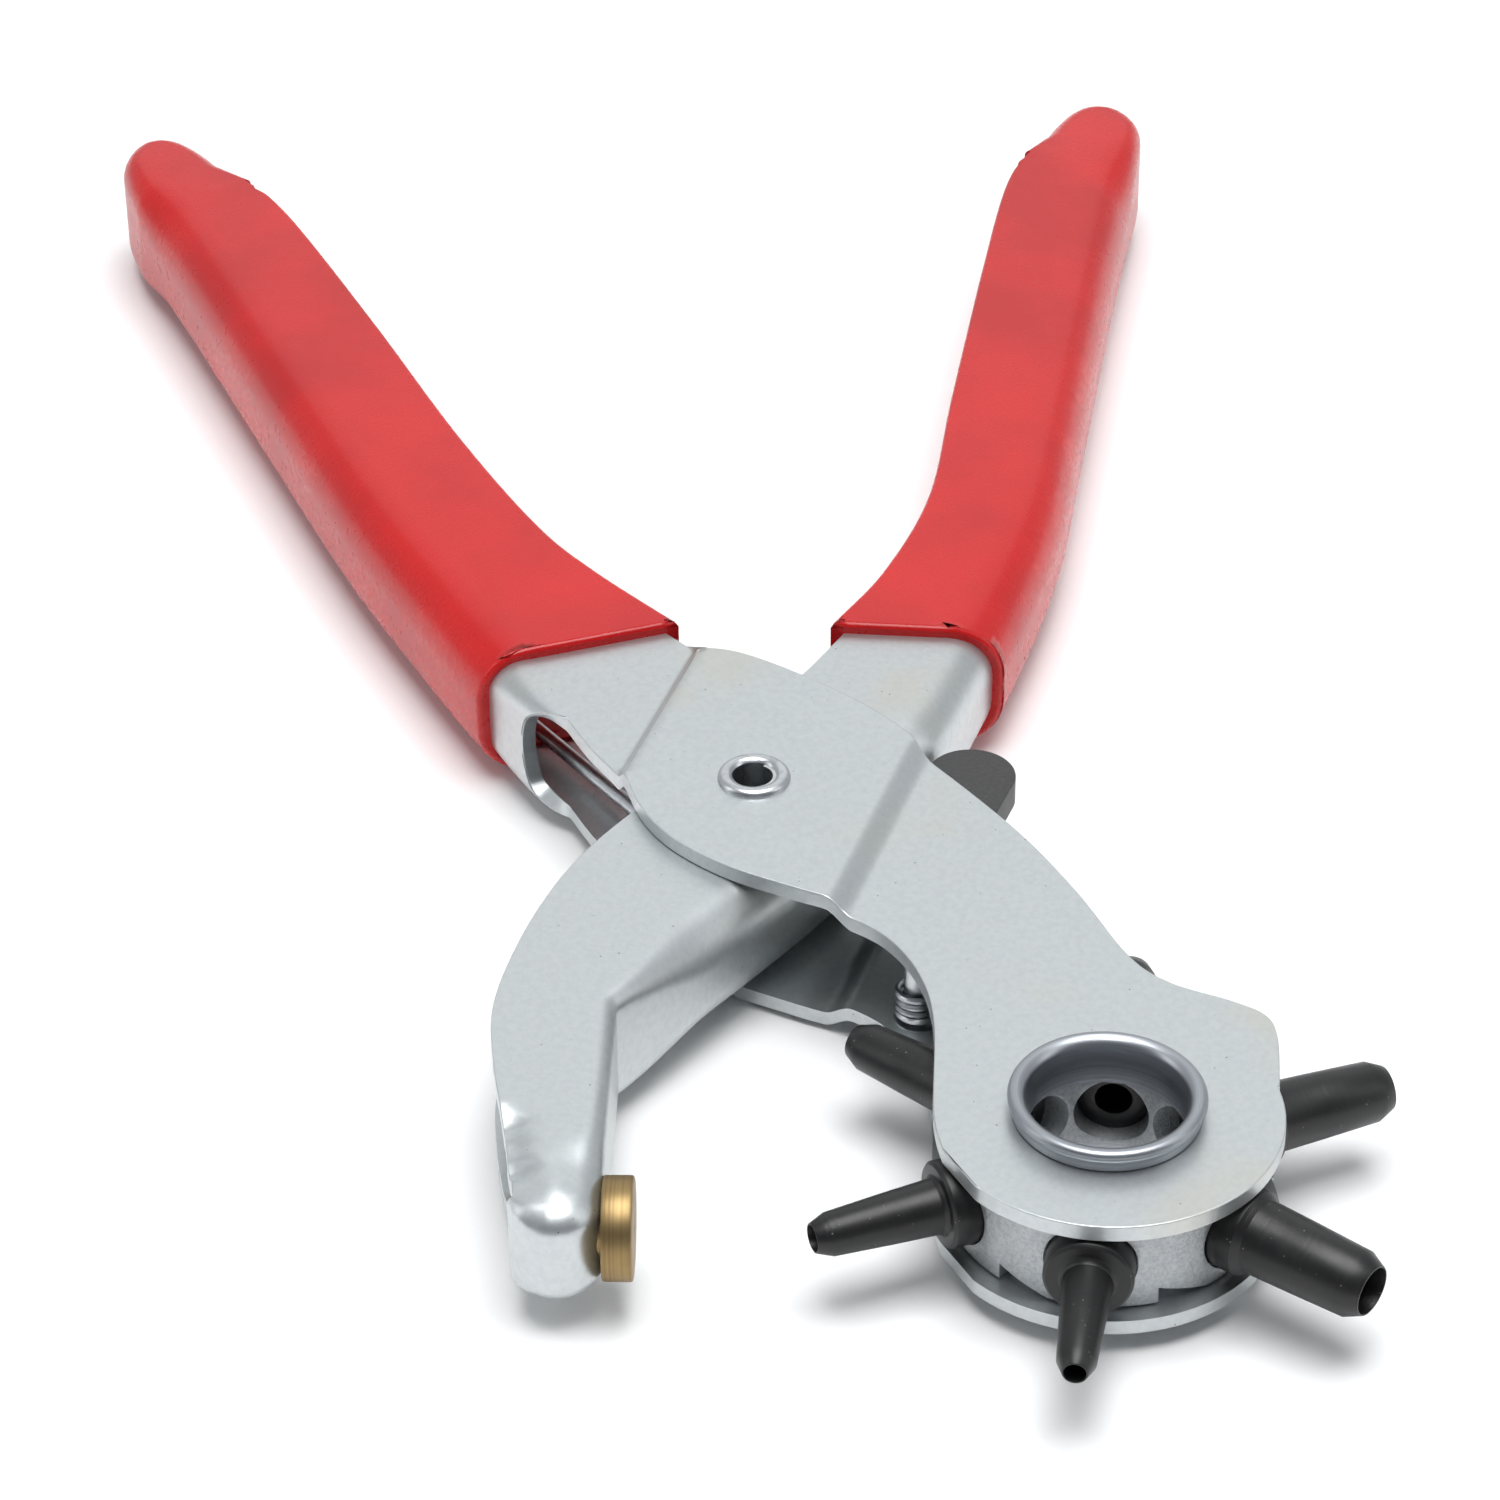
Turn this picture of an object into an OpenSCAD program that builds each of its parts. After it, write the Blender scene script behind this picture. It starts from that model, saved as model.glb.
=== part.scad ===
// Rotary hole punch: revolving punch pliers of pressed steel channel with red dipped grips.
// Millimetres. The origin is the middle of the hollow pivot rivet, +Z runs along that rivet,
// the handles point to +Y and the head to -Y. The pliers are drawn open, as they stand at rest.

/* [Pressed arms] */
// Thickness of the pressed steel sheet
sheet = 1.6; // [1.2:0.1:1.8]
// Height over the two head plates
head_height = 12.6; // [12.4:0.1:14]
// How far the turret arm leans to the left of +Y
turret_arm_tilt = 32; // [31:0.5:33]
// How far the anvil arm leans to the right of +Y
anvil_arm_tilt = 18.4; // [18:0.1:19]
// Side play between the anvil arm and the cheeks that hold it
cheek_play = 0.1; // [0.08:0.01:0.15]

/* [Pivot] */
// Outside radius of the hollow pivot rivet
pivot_r = 3; // [2.8:0.1:3.1]
// Bore radius of the hollow pivot rivet
pivot_bore_r = 2.1; // [1.8:0.1:2.2]
// Half width of the raised cheeks around the pivot
cheek_half_width = 12.4; // [12.3:0.1:12.8]
// How far the rivet heads and the hub rings stand out from the middle plane
foot_z = 8.6; // [8.5:0.1:8.8]

/* [Turret] */
// Distance from the pivot to the middle of the turret
head_reach = 59.8; // [59.5:0.1:60]
// Radius of the turret body
turret_r = 14.5; // [14.2:0.1:14.8]
// Bore radius of the hollow hub
hub_bore_r = 7.4; // [7.2:0.1:7.6]
// Radius of the circle through the cutting edges
tube_reach = 28.8; // [28.5:0.1:29]
// Direction of the tube in use, seen from the turret's middle
index_angle = 201; // [200:0.5:202]
// Height of the tubes above the middle plane
tube_z = 0.3; // [0:0.1:0.4]

/* [Anvil] */
// Radius of the brass anvil
anvil_r = 4.8; // [4.5:0.1:5]
// Height of the brass anvil above its seat
anvil_t = 2.8; // [2.5:0.1:3]

/* [Grips] */
// Thickness of the dipped plastic
grip_t = 1.2; // [1:0.1:1.3]
// Thickness of the plastic inside the channel
lining_t = 0.8; // [0.6:0.1:0.9]

/* [Springs] */
// Wire thickness of the opening spring
spring_wire = 1.6; // [1.4:0.1:1.7]
// Wire thickness of the index spring
index_wire = 0.7; // [0.6:0.05:0.7]

/* [Hidden] */

$fn = 64;
eps = 0.01;
head_z = head_height / 2;             // outer face of the head plates and handles
inner_z = head_z - sheet;             // inner face of the head plates
cheek_z = head_z + sheet;             // outer face of the raised cheeks
anvil_arm_z = head_z - cheek_play;    // outer face of the anvil arm
turret_z = inner_z - 0.25;            // half height of the turret body
crease_angle = 90 - anvil_arm_tilt - turret_arm_tilt; // creases run along the anvil arm
running = 0.08;                       // radial clearance of running fits
arch_y = 21.3;                        // middle of the arch that ends the turret arm's web
arch_r = head_z + 0.05;
arch_x = -10.2;                       // edge of the plates beside the arch
latch_at = [12, -15];
index_post_at = [1.4, -27.5];
index_stop_at = [10, -29];
stud_r = 1.5;                         // radius of the small studs
index_z = 0.15 + index_wire / 2 - inner_z;   // height of the index spring's long leg
notch_turn = 25;                      // from a tube to the notch after it
notch_at = index_angle - turret_arm_tilt - 120 + notch_turn + 4;
latch_z = [0, 3.2];

zinc = [0.75, 0.77, 0.78];
dark_zinc = [0.5, 0.52, 0.56];
pvc_red = [0.75, 0.1, 0.1];
black_oxide = [0.1, 0.1, 0.11];
brass = [0.6, 0.46, 0.24];

// ---- Curves -------------------------------------------------------------------------------

// One point of a smooth curve between p1 and p2
function between(p0, p1, p2, p3, t) =
    0.5 * (2 * p1 + (p2 - p0) * t + (2 * p0 - 5 * p1 + 4 * p2 - p3) * t * t
    + (3 * p1 - p0 - 3 * p2 + p3) * t * t * t);

// A smooth open curve through the given points, with n steps between neighbours
function smooth(p, n = 5) = let (last = len(p) - 1) concat(
    [for (i = [0 : last - 1]) for (k = [0 : n - 1])
        between(p[max(i - 1, 0)], p[i], p[i + 1], p[min(i + 2, last)], k / n)],
    [p[last]]);

function unit(v) = v / norm(v);
function left_of(v) = [-v.y, v.x];

// Direction of a curve at its i-th point
function along(p, i) = unit(p[min(i + 1, len(p) - 1)] - p[max(i - 1, 0)]);

// The curve moved sideways by d, to the left of its direction when d is positive
function shifted(p, d) = [for (i = [0 : len(p) - 1]) p[i] + d * left_of(along(p, i))];

// One curve made of two that meet in a point
function joined(p, q) = concat(p, [for (i = [1 : len(q) - 1]) q[i]]);

function reversed(p) = [for (i = [len(p) - 1 : -1 : 0]) p[i]];
function polar(r, a) = [r * cos(a), r * sin(a)];
function arc(centre, r, a0, a1, n = 24) =
    [for (i = [0 : n]) centre + polar(r, a0 + (a1 - a0) * i / n)];

// ---- Outlines of the turret arm, in its own frame (turret on -Y) ----------------------------

// Web side of the handle, from the arch to the start of the rounded end
turret_arm_web = smooth([[-11.4, arch_y], [-11.2, 36], [-9.8, 52], [-7.6, 71],
                         [-2.7, 100], [2.6, 131], [4.8, 146]]);
turret_arm_end = smooth([[4.8, 146], [7.2, 154.4], [11, 157.6], [14.4, 154.4], [15.5, 141]]);
turret_arm_edge = smooth([[15.5, 141], [15.1, 129], [11.4, 102], [7.2, 75], [5.1, 54],
                          [5.6, 42], [8.1, 26]]);
// Inner side of the arm from the handle to the shoulder of the head
turret_arm_front = smooth([[8.4, 22.6], [10.9, 19.8], [13.7, 13.7], [16.6, 4], [17.7, -7],
                           [18.1, -20], [17.2, -31], [15.4, -42], [16.2, -47.5], [19.4, -53],
                           [20.7, -56.5], [19.5, -59.8], [15.4, -65.4]]);
turret_arm_nose = arc([0, -head_reach], 16.2, -20, -172);
turret_arm_back = smooth([[-15.6, -56.2], [-13.2, -51.2], [-5.8, -40.3], [-2.9, -33.5],
                          [-2.3, -27], [-4, -21.8], [-6.6, -17.4], [-10.2, -10.8], [-12.1, -4],
                          [-12, 2], [arch_x, 9]]);
turret_arm_skin = joined(turret_arm_web, turret_arm_end);
turret_arm_head = concat(turret_arm_front, turret_arm_nose, turret_arm_back, [[arch_x, arch_y]]);
turret_arm_outline = concat(joined(turret_arm_skin, turret_arm_edge), turret_arm_head);

// ---- Outlines of the anvil arm, in its own frame (handle on +Y) -----------------------------

// Web side from the tip of the jaw to the corner, then along the arm to the handle's end
anvil_corner = [-1.9, -36];
anvil_lean = 16.5;                    // how far the anvil's face turns from +X
anvil_face = anvil_corner + 25.8 * [sin(anvil_lean), -cos(anvil_lean)]
             + anvil_t * [cos(anvil_lean), sin(anvil_lean)];
jaw_tip = anvil_corner + 28 * [sin(anvil_lean), -cos(anvil_lean)];
anvil_arm_web = concat([jaw_tip], smooth([anvil_corner, [2.6, -25], [8, -10.3], [11, 0],
                       [12, 9], [12.6, 13], [14.6, 18], [15.2, 28], [15.1, 46], [14.1, 62],
                       [11.2, 81], [5.9, 115], [3, 135], [1.8, 143]]));
anvil_arm_end = smooth([[1.8, 143], [0.2, 150.6], [-3.6, 153.4], [-7.2, 150.4], [-8.8, 138]]);
anvil_arm_edge = smooth([[-8.8, 138], [-8.6, 128], [-5.9, 109], [-1.1, 79], [2.4, 58],
                         [2.2, 42], [0, 30], [-2.4, 19], [-8.2, 0], [-12.6, -14], [-13.9, -26],
                         [-12.9, -39], [-9.7, -48], [-3.7, -59.6]]);
jaw_nose = smooth([[-3.7, -59.6], [-1.4, -65], [0.8, -67.2], [3.6, -66.4], jaw_tip], 6);
anvil_arm_skin = joined(anvil_arm_web, anvil_arm_end);
anvil_arm_outline = joined(joined(anvil_arm_skin, anvil_arm_edge), [for (p = jaw_nose) if (p != jaw_tip) p]);

// ---- Placing ----------------------------------------------------------------------------------

module in_turret_arm() { rotate(turret_arm_tilt) children(); }
module in_anvil_arm() { rotate(-anvil_arm_tilt) children(); }
module at_turret() { in_turret_arm() translate([0, -head_reach, 0]) children(); }

// A slab between two heights, and the same slab mirrored below the middle plane
module slab(z0, z1) { translate([0, 0, z0]) linear_extrude(z1 - z0) children(); }
module both_sides() {
    children();
    mirror([0, 0, 1]) children();
}

// The strip of the turret arm beyond or between its two creases
module between_creases(half_width) {
    rotate(crease_angle) translate([0, -half_width]) translate([-60, 0]) square([120, 2 * half_width]);
}

// A strip of sheet that follows a curve, t to the left of it
module strip(curve, t) { polygon(concat(curve, reversed(shifted(curve, t)))); }

// ---- Arms ---------------------------------------------------------------------------------------

module turret_arm_cheeks() {
    both_sides() slab(head_z - eps, cheek_z) intersection() {
        polygon(turret_arm_outline);
        between_creases(cheek_half_width + sheet);
    }
}

module turret_arm_plates() {
    both_sides() slab(inner_z, head_z) difference() {
        polygon(turret_arm_outline);
        between_creases(cheek_half_width);
    }
}

module turret_arm_channel_web() {
    slab(-head_z, head_z) strip(turret_arm_skin, -sheet);
}

// The round end of the gap that lets the jaw pass through the web
module arch_cut() {
    translate([-20, arch_y, 0]) rotate([0, 90, 0]) cylinder(r = arch_r, h = 20 + arch_x + sheet);
}

module turret_arm() {
    color(zinc) in_turret_arm() difference() {
        union() {
            turret_arm_cheeks();
            turret_arm_plates();
            turret_arm_channel_web();
        }
        arch_cut();
        cylinder(r = pivot_r, h = 4 * cheek_z, center = true);
        translate([0, -head_reach, 0]) cylinder(r = hub_bore_r + 0.7, h = 4 * cheek_z, center = true);
        for (p = [latch_at, index_post_at, index_stop_at])
            translate([p.x, p.y, -cheek_z]) cylinder(r = stud_r, h = cheek_z);
    }
}

module anvil_arm() {
    color(zinc) in_anvil_arm() difference() {
        union() {
            both_sides() slab(anvil_arm_z - sheet, anvil_arm_z) polygon(anvil_arm_outline);
            slab(-anvil_arm_z, anvil_arm_z) strip(anvil_arm_skin, sheet);
            slab(-anvil_arm_z, anvil_arm_z) strip(jaw_nose, sheet);
        }
        cylinder(r = pivot_r + running, h = 4 * cheek_z, center = true);
        anvil_axis() translate([0, 0, -anvil_t - 3 * sheet]) cylinder(r = anvil_shank_r, h = 3 * sheet);
    }
}

// ---- Grips --------------------------------------------------------------------------------------

// A dipped grip over one handle. The skin is the curve of the handle's web and rounded end, the
// edge is its open side, side is 1 or -1 for the side of the web, half_h is half its height, and
// the grip starts beyond the line from cut_a to cut_b.
module dipped_grip(skin, edge, side, half_h, cut_a, cut_b) {
    far = 400;
    wall = sheet + lining_t;
    difference() {
        slab(-half_h - grip_t, half_h + grip_t) intersection() {
            polygon(shifted(joined(skin, edge), side * grip_t));
            polygon([cut_a, cut_b, cut_b + [0, far], cut_a + [0, far]]);
        }
        both_sides() slab(half_h - sheet, half_h) polygon(joined(skin, edge));
        slab(-half_h + sheet / 2, half_h - sheet / 2) strip(skin, -side * sheet);
        slab(-half_h + wall, half_h - wall)
            polygon(concat(shifted(skin, -side * wall), shifted(edge, side * (grip_t + 1))));
    }
}

module turret_arm_grip() {
    color(pvc_red) in_turret_arm()
        dipped_grip(turret_arm_skin, turret_arm_edge, 1, head_z, [-20, 35.8], [20, 26]);
}

module anvil_arm_grip() {
    color(pvc_red) in_anvil_arm()
        dipped_grip([for (p = anvil_arm_skin) if (p.y > 12) p], [for (p = anvil_arm_edge) if (p.y > 12) p],
                    -1, anvil_arm_z, [-20, 25.5], [20, 34.5]);
}

// ---- Pivot, opening spring and anvil ---------------------------------------------------------------

module pivot_rivet() {
    head_r = pivot_r + 0.65;
    edge = 0.3;
    color(zinc) rotate_extrude() polygon([
        [pivot_bore_r, -foot_z], [head_r - edge, -foot_z], [head_r, -foot_z + edge],
        [head_r, -cheek_z], [pivot_r, -cheek_z], [pivot_r, cheek_z],
        [head_r, cheek_z], [head_r, foot_z - edge], [head_r - edge, foot_z], [pivot_bore_r, foot_z]]);
}

// A round wire along a path that never runs straight up
module wire(path, r, sides = 8) {
    n = len(path);
    points = [for (i = [0 : n - 1])
        let (t = along(path, i), u = unit(cross([0, 0, 1], t)), v = cross(t, u))
        for (k = [0 : sides - 1]) path[i] + r * (cos(360 * k / sides) * u + sin(360 * k / sides) * v)];
    skin = [for (i = [0 : n - 2]) for (k = [0 : sides - 1])
        [i * sides + k, i * sides + (k + 1) % sides,
         (i + 1) * sides + (k + 1) % sides, (i + 1) * sides + k]];
    ends = [[for (k = [sides - 1 : -1 : 0]) k], [for (k = [0 : sides - 1]) (n - 1) * sides + k]];
    polyhedron(points, concat(skin, ends), convexity = 6);
}

// A coil that starts at angle a0 and height z0 and winds to the left up to a1 and z1
function coil(r, a0, a1, z0, z1, step = 15) = let (n = ceil((a1 - a0) / step))
    [for (i = [0 : n]) let (a = a0 + (a1 - a0) * i / n)
        [r * cos(a), r * sin(a), z0 + (z1 - z0) * i / n]];

module opening_spring() {
    coil_r = pivot_r + 0.5 + spring_wire / 2;
    start = 183.5 + turret_arm_tilt;
    turn_end = 360 * 4 - 12 - anvil_arm_tilt;
    rise = 2.75;
    first = concat(polar(coil_r, start), [-rise]);
    last = concat(polar(coil_r, turn_end), [rise]);
    color(zinc) wire(concat(
        [first + [41 * cos(start - 90), 41 * sin(start - 90), 0]],
        coil(coil_r, start, turn_end, -rise, rise),
        [last + [35 * cos(turn_end + 90), 35 * sin(turn_end + 90), 0]]), spring_wire / 2, 10);
}

anvil_shank_r = 2.5;
module anvil_axis() {
    translate([anvil_face.x, anvil_face.y, tube_z]) rotate(anvil_lean) rotate([0, 90, 0]) children();
}

module anvil() {
    chamfer = 0.3;
    shank = anvil_t + sheet;
    color(brass) in_anvil_arm() anvil_axis() rotate_extrude() polygon([
        [0, 0], [anvil_r - chamfer, 0], [anvil_r, -chamfer], [anvil_r, -anvil_t],
        [anvil_shank_r, -anvil_t], [anvil_shank_r, -shank], [anvil_shank_r - chamfer, -shank - chamfer],
        [0, -shank - chamfer]]);
}

// ---- Turret ------------------------------------------------------------------------------------------

socket_r = 3.5;
seat_r = 13.4;                        // where a tube's flange sits, from the turret's middle
neck_r = hub_bore_r + 0.6;            // hub neck that runs in the head plates
notch_depth = 1.7;
notch_ramp = 5;
flange_r = 4.1;

module turret() {
    color(dark_zinc) at_turret() rotate(index_angle - turret_arm_tilt) difference() {
        cylinder(r = turret_r, h = 2 * turret_z, center = true);
        cylinder(r = hub_bore_r, h = 4 * turret_z, center = true);
        for (side = [-1, 1]) translate([0, 0, side * turret_z])
            cylinder(r = neck_r, h = 2 * hub_neck_depth, center = true);
        for (i = [0 : 5]) rotate(60 * i) {
            translate([0, 0, tube_z]) rotate([0, 90, 0]) cylinder(r = socket_r, h = 20);
            translate([seat_r, 0, tube_z]) rotate([0, 90, 0]) cylinder(r = flange_r + 0.15, h = 4);
            rotate(notch_turn) translate([12.4, 0, -turret_z - eps]) rotate([90, 0, 90]) linear_extrude(4)
                polygon([[0, 0], [notch_ramp, 0], [0, notch_depth]]);
        }
    }
}

hub_neck_depth = 0.8;
module hub_ring(side) {
    neck_z = turret_z - hub_neck_depth;
    lip_z = head_z + 0.12;
    lip_r = hub_bore_r + 1.7;
    color(dark_zinc) at_turret() mirror([0, 0, side < 0 ? 1 : 0]) rotate_extrude()
        polygon([[hub_bore_r, neck_z], [neck_r, neck_z], [neck_r, lip_z], [lip_r, lip_z],
                 [lip_r, foot_z - 0.7], [lip_r - 0.25, foot_z - 0.2], [lip_r - 0.7, foot_z],
                 [hub_bore_r + 0.5, foot_z], [hub_bore_r, foot_z - 0.5]]);
}
module hub_ring_top() { hub_ring(1); }
module hub_ring_bottom() { hub_ring(-1); }

// A punch tube for holes of the given size, in the given socket counted from the tube in use
module punch_tube(hole, place, root_r, tip_r) {
    stem = 9.2;
    collar = 16.6;
    bevel = 1.6;
    color(black_oxide) at_turret() rotate(index_angle - turret_arm_tilt + 60 * place)
        translate([0, 0, tube_z]) rotate([0, 90, 0]) rotate_extrude() polygon([
            [hole / 2, stem], [socket_r, stem], [socket_r, seat_r], [flange_r, seat_r],
            [flange_r, collar - 0.5], [flange_r - 0.5, collar], [root_r, collar],
            [tip_r, tube_reach - bevel], [hole / 2 + 0.12, tube_reach], [hole / 2, tube_reach]]);
}
module tube_2_5() { punch_tube(2.5, 0, 2.6, 2.05); }
module tube_2_0() { punch_tube(2.0, 1, 2.3, 1.8); }
module tube_4_5() { punch_tube(4.5, 2, 3.5, 3.2); }
module tube_4_0() { punch_tube(4.0, 3, 3.3, 2.9); }
module tube_3_5() { punch_tube(3.5, 4, 3.1, 2.6); }
module tube_3_0() { punch_tube(3.0, 5, 2.8, 2.35); }

// ---- Latch and index parts ------------------------------------------------------------------------------

// A stud riveted into the lower head plate, with a collar under its load and a head on top
module plate_stud(at, collar_z, top_z) {
    head = 0.6;
    color(zinc) in_turret_arm() translate(at) rotate_extrude() polygon([
        [0, -head_z - head], [stud_r, -head_z - head], [stud_r + 0.4, -head_z],
        [stud_r, -head_z], [stud_r, -inner_z], [stud_r + 1, -inner_z], [stud_r + 1, collar_z],
        [stud_r, collar_z], [stud_r, top_z], [stud_r + 0.7, top_z], [stud_r + 0.5, top_z + head],
        [0, top_z + head]]);
}
module latch_rivet() { plate_stud(latch_at, latch_z[0] - running, latch_z[1] + running); }
module index_post() { plate_stud(index_post_at, 0.1 - inner_z, 3.4); }
module index_stop() { plate_stud(index_stop_at, 0.1 - inner_z, 1.2); }

thumb_at = [22.3, -5.8] - latch_at;
module latch_lever() {
    eye_r = 3.4;
    thumb_r = 4.5;
    toward = atan2(thumb_at.y, thumb_at.x);
    reach = norm(thumb_at);
    color(black_oxide) in_turret_arm() translate(latch_at) rotate(toward) difference() {
        slab(latch_z[0], latch_z[1]) union() {
            circle(r = eye_r);
            translate([reach, 0]) circle(r = thumb_r);
            polygon([[0, -eye_r], [reach, -thumb_r], [reach, thumb_r], [0, eye_r]]);
        }
        cylinder(r = stud_r + running, h = 20, center = true);
    }
}

// The index spring: its long leg drops into a notch of the turret, its short leg bears on the stop
module index_spring() {
    coil_r = stud_r + 0.25 + index_wire / 2;
    nose = [0, -head_reach] + polar(13.4, notch_at) - index_post_at;
    start = atan2(nose.y, nose.x) + acos(coil_r / norm(nose));
    stop = index_stop_at - index_post_at + [0, stud_r + index_wire / 2 + 0.05];
    turn_end = 360 * 4 + atan2(stop.y, stop.x) - acos(coil_r / norm(stop));
    top_z = index_z + (turn_end - start) / 360 * (index_wire + 0.1);
    color(zinc) in_turret_arm() translate(index_post_at) wire(concat(
        [concat(nose, [index_z])],
        coil(coil_r, start, turn_end, index_z, top_z, 20),
        [concat(stop, [top_z])]), index_wire / 2, 8);
}

// ---- The whole tool ---------------------------------------------------------------------------------------

turret_arm();
anvil_arm();
turret_arm_grip();
anvil_arm_grip();
pivot_rivet();
opening_spring();
anvil();
turret();
hub_ring_top();
hub_ring_bottom();
tube_2_0();
tube_2_5();
tube_3_0();
tube_3_5();
tube_4_0();
tube_4_5();
latch_lever();
latch_rivet();
index_post();
index_stop();
index_spring();
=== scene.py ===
"""The looks of a rotary hole punch: revolving punch pliers of pressed, zinc-plated steel.

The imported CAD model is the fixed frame. Each class below is one sub-assembly: it models its
pieces in the frame's place, in millimetres, and dresses them in its finishes.
"""

import logging
import math
from dataclasses import dataclass, field
from enum import Enum
from typing import Callable

import bmesh
import bpy
from mathutils import Matrix, Vector
from mathutils.geometry import delaunay_2d_cdt
from mathutils.kdtree import KDTree


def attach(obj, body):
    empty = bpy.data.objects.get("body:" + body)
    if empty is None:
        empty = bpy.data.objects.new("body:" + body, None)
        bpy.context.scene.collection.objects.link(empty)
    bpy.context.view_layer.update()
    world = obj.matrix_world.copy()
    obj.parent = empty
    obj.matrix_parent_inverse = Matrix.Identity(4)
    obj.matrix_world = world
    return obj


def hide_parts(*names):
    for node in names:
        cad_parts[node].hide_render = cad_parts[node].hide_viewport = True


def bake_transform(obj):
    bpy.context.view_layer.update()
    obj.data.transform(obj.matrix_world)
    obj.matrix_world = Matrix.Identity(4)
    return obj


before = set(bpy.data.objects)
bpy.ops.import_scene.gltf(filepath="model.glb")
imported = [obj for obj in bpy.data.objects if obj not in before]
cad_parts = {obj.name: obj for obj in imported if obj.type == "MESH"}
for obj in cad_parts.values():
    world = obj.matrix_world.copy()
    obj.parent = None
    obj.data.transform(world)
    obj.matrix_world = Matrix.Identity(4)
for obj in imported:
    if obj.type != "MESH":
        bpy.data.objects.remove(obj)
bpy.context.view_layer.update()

LOG = logging.getLogger("hole_punch")
MM = 0.001
MERGE = 1e-4

# Shared sizes of the tool, in millimetres and degrees
SHEET = 1.6
HEAD_Z = 6.3
CHEEK_RISE = 1.6
CHEEK_HALF_WIDTH = 12.4
FOOT_Z = 8.6
TURRET_TILT = 32.0
ANVIL_TILT = -18.4
ANVIL_ARM_Z = 6.2
HEAD_REACH = 59.8
INDEX_ANGLE = 201.0
TUBE_Z = 0.3
GRIP = 1.2
LINING = 0.4
SHEET_ROUNDING = 0.14
GRIP_ROUNDING = 0.6

# Spacing of the pressed sheets' meshes, in millimetres
GRID_CLEARANCE = 0.45
LIP_SPACING = 0.8
WELD = 0.02
PLAIN_TIP = 20

# Ends of a pressed sheet's bend: growth of its radius per millimetre, and reach of its rim's fade
TIGHTENING = 0.4
RIM_FADE = 5

Profile = list[tuple[float, float]]
Curve = list[Vector]


class Body(Enum):
    """The moving bodies that pieces ride on."""

    TURRET_SIDE = "turret_side"
    ANVIL_SIDE = "anvil_side"
    WHEEL = "turret_wheel"
    LATCH = "latch"


class Slot(Enum):
    """The material slots that the finishes name."""

    ZINC = "zinc_plate"
    RIVET = "rivet_steel"
    SPRING = "spring_steel"
    DIE_CAST = "die_cast_zinc"
    HUB = "hub_zinc"
    PVC = "red_pvc"
    BRASS = "brass"
    OXIDE = "black_oxide"
    LATCH = "latch_black"


# ---- Node trees ---------------------------------------------------------------------------


class Value:
    """A number socket that can be used in Python arithmetic."""

    def __init__(self, graph: "Graph", socket: bpy.types.NodeSocket) -> None:
        """Wraps a socket.

        Args:
            graph: The node tree that the socket is in.
            socket: The output socket.
        """
        self.graph = graph
        self.socket = socket

    def _math(self, operation: str, first: object, second: object = 0.0) -> "Value":
        """Adds a Math node and returns its result.

        Args:
            operation: The Math node's operation.
            first: The first value or number.
            second: The second value or number.

        Returns:
            The node's result.
        """
        node = self.graph.add("ShaderNodeMath", {"operation": operation}, {0: first, 1: second})
        return Value(self.graph, node.outputs[0])

    def __add__(self, other: object) -> "Value":
        """Adds a value or number to this one.

        Args:
            other: The other value or number.

        Returns:
            The result.
        """
        return self._math("ADD", self, other)

    __radd__ = __add__

    def __sub__(self, other: object) -> "Value":
        """Takes a value or number from this one.

        Args:
            other: The other value or number.

        Returns:
            The result.
        """
        return self._math("SUBTRACT", self, other)

    def __rsub__(self, other: object) -> "Value":
        """Takes this value from a number.

        Args:
            other: The number.

        Returns:
            The result.
        """
        return self._math("SUBTRACT", other, self)

    def __mul__(self, other: object) -> "Value":
        """Multiplies this value by another.

        Args:
            other: The other value or number.

        Returns:
            The result.
        """
        return self._math("MULTIPLY", self, other)

    __rmul__ = __mul__

    def clamp(self, low: float, high: float) -> "Value":
        """Keeps the value between two numbers.

        Args:
            low: The lowest value.
            high: The highest value.

        Returns:
            The clamped value.
        """
        return self._math("MINIMUM", self._math("MAXIMUM", self, low), high)

    def step(self, start: float, end: float) -> "Value":
        """A smooth rise from 0 at start to 1 at end.

        Args:
            start: Where the rise starts.
            end: Where the rise ends, which may be the smaller one.

        Returns:
            The risen value.
        """
        settings = {"interpolation_type": "SMOOTHSTEP"}
        node = self.graph.add(
            "ShaderNodeMapRange", settings, {"Value": self, "From Min": start, "From Max": end}
        )
        return Value(self.graph, node.outputs[0])


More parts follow.
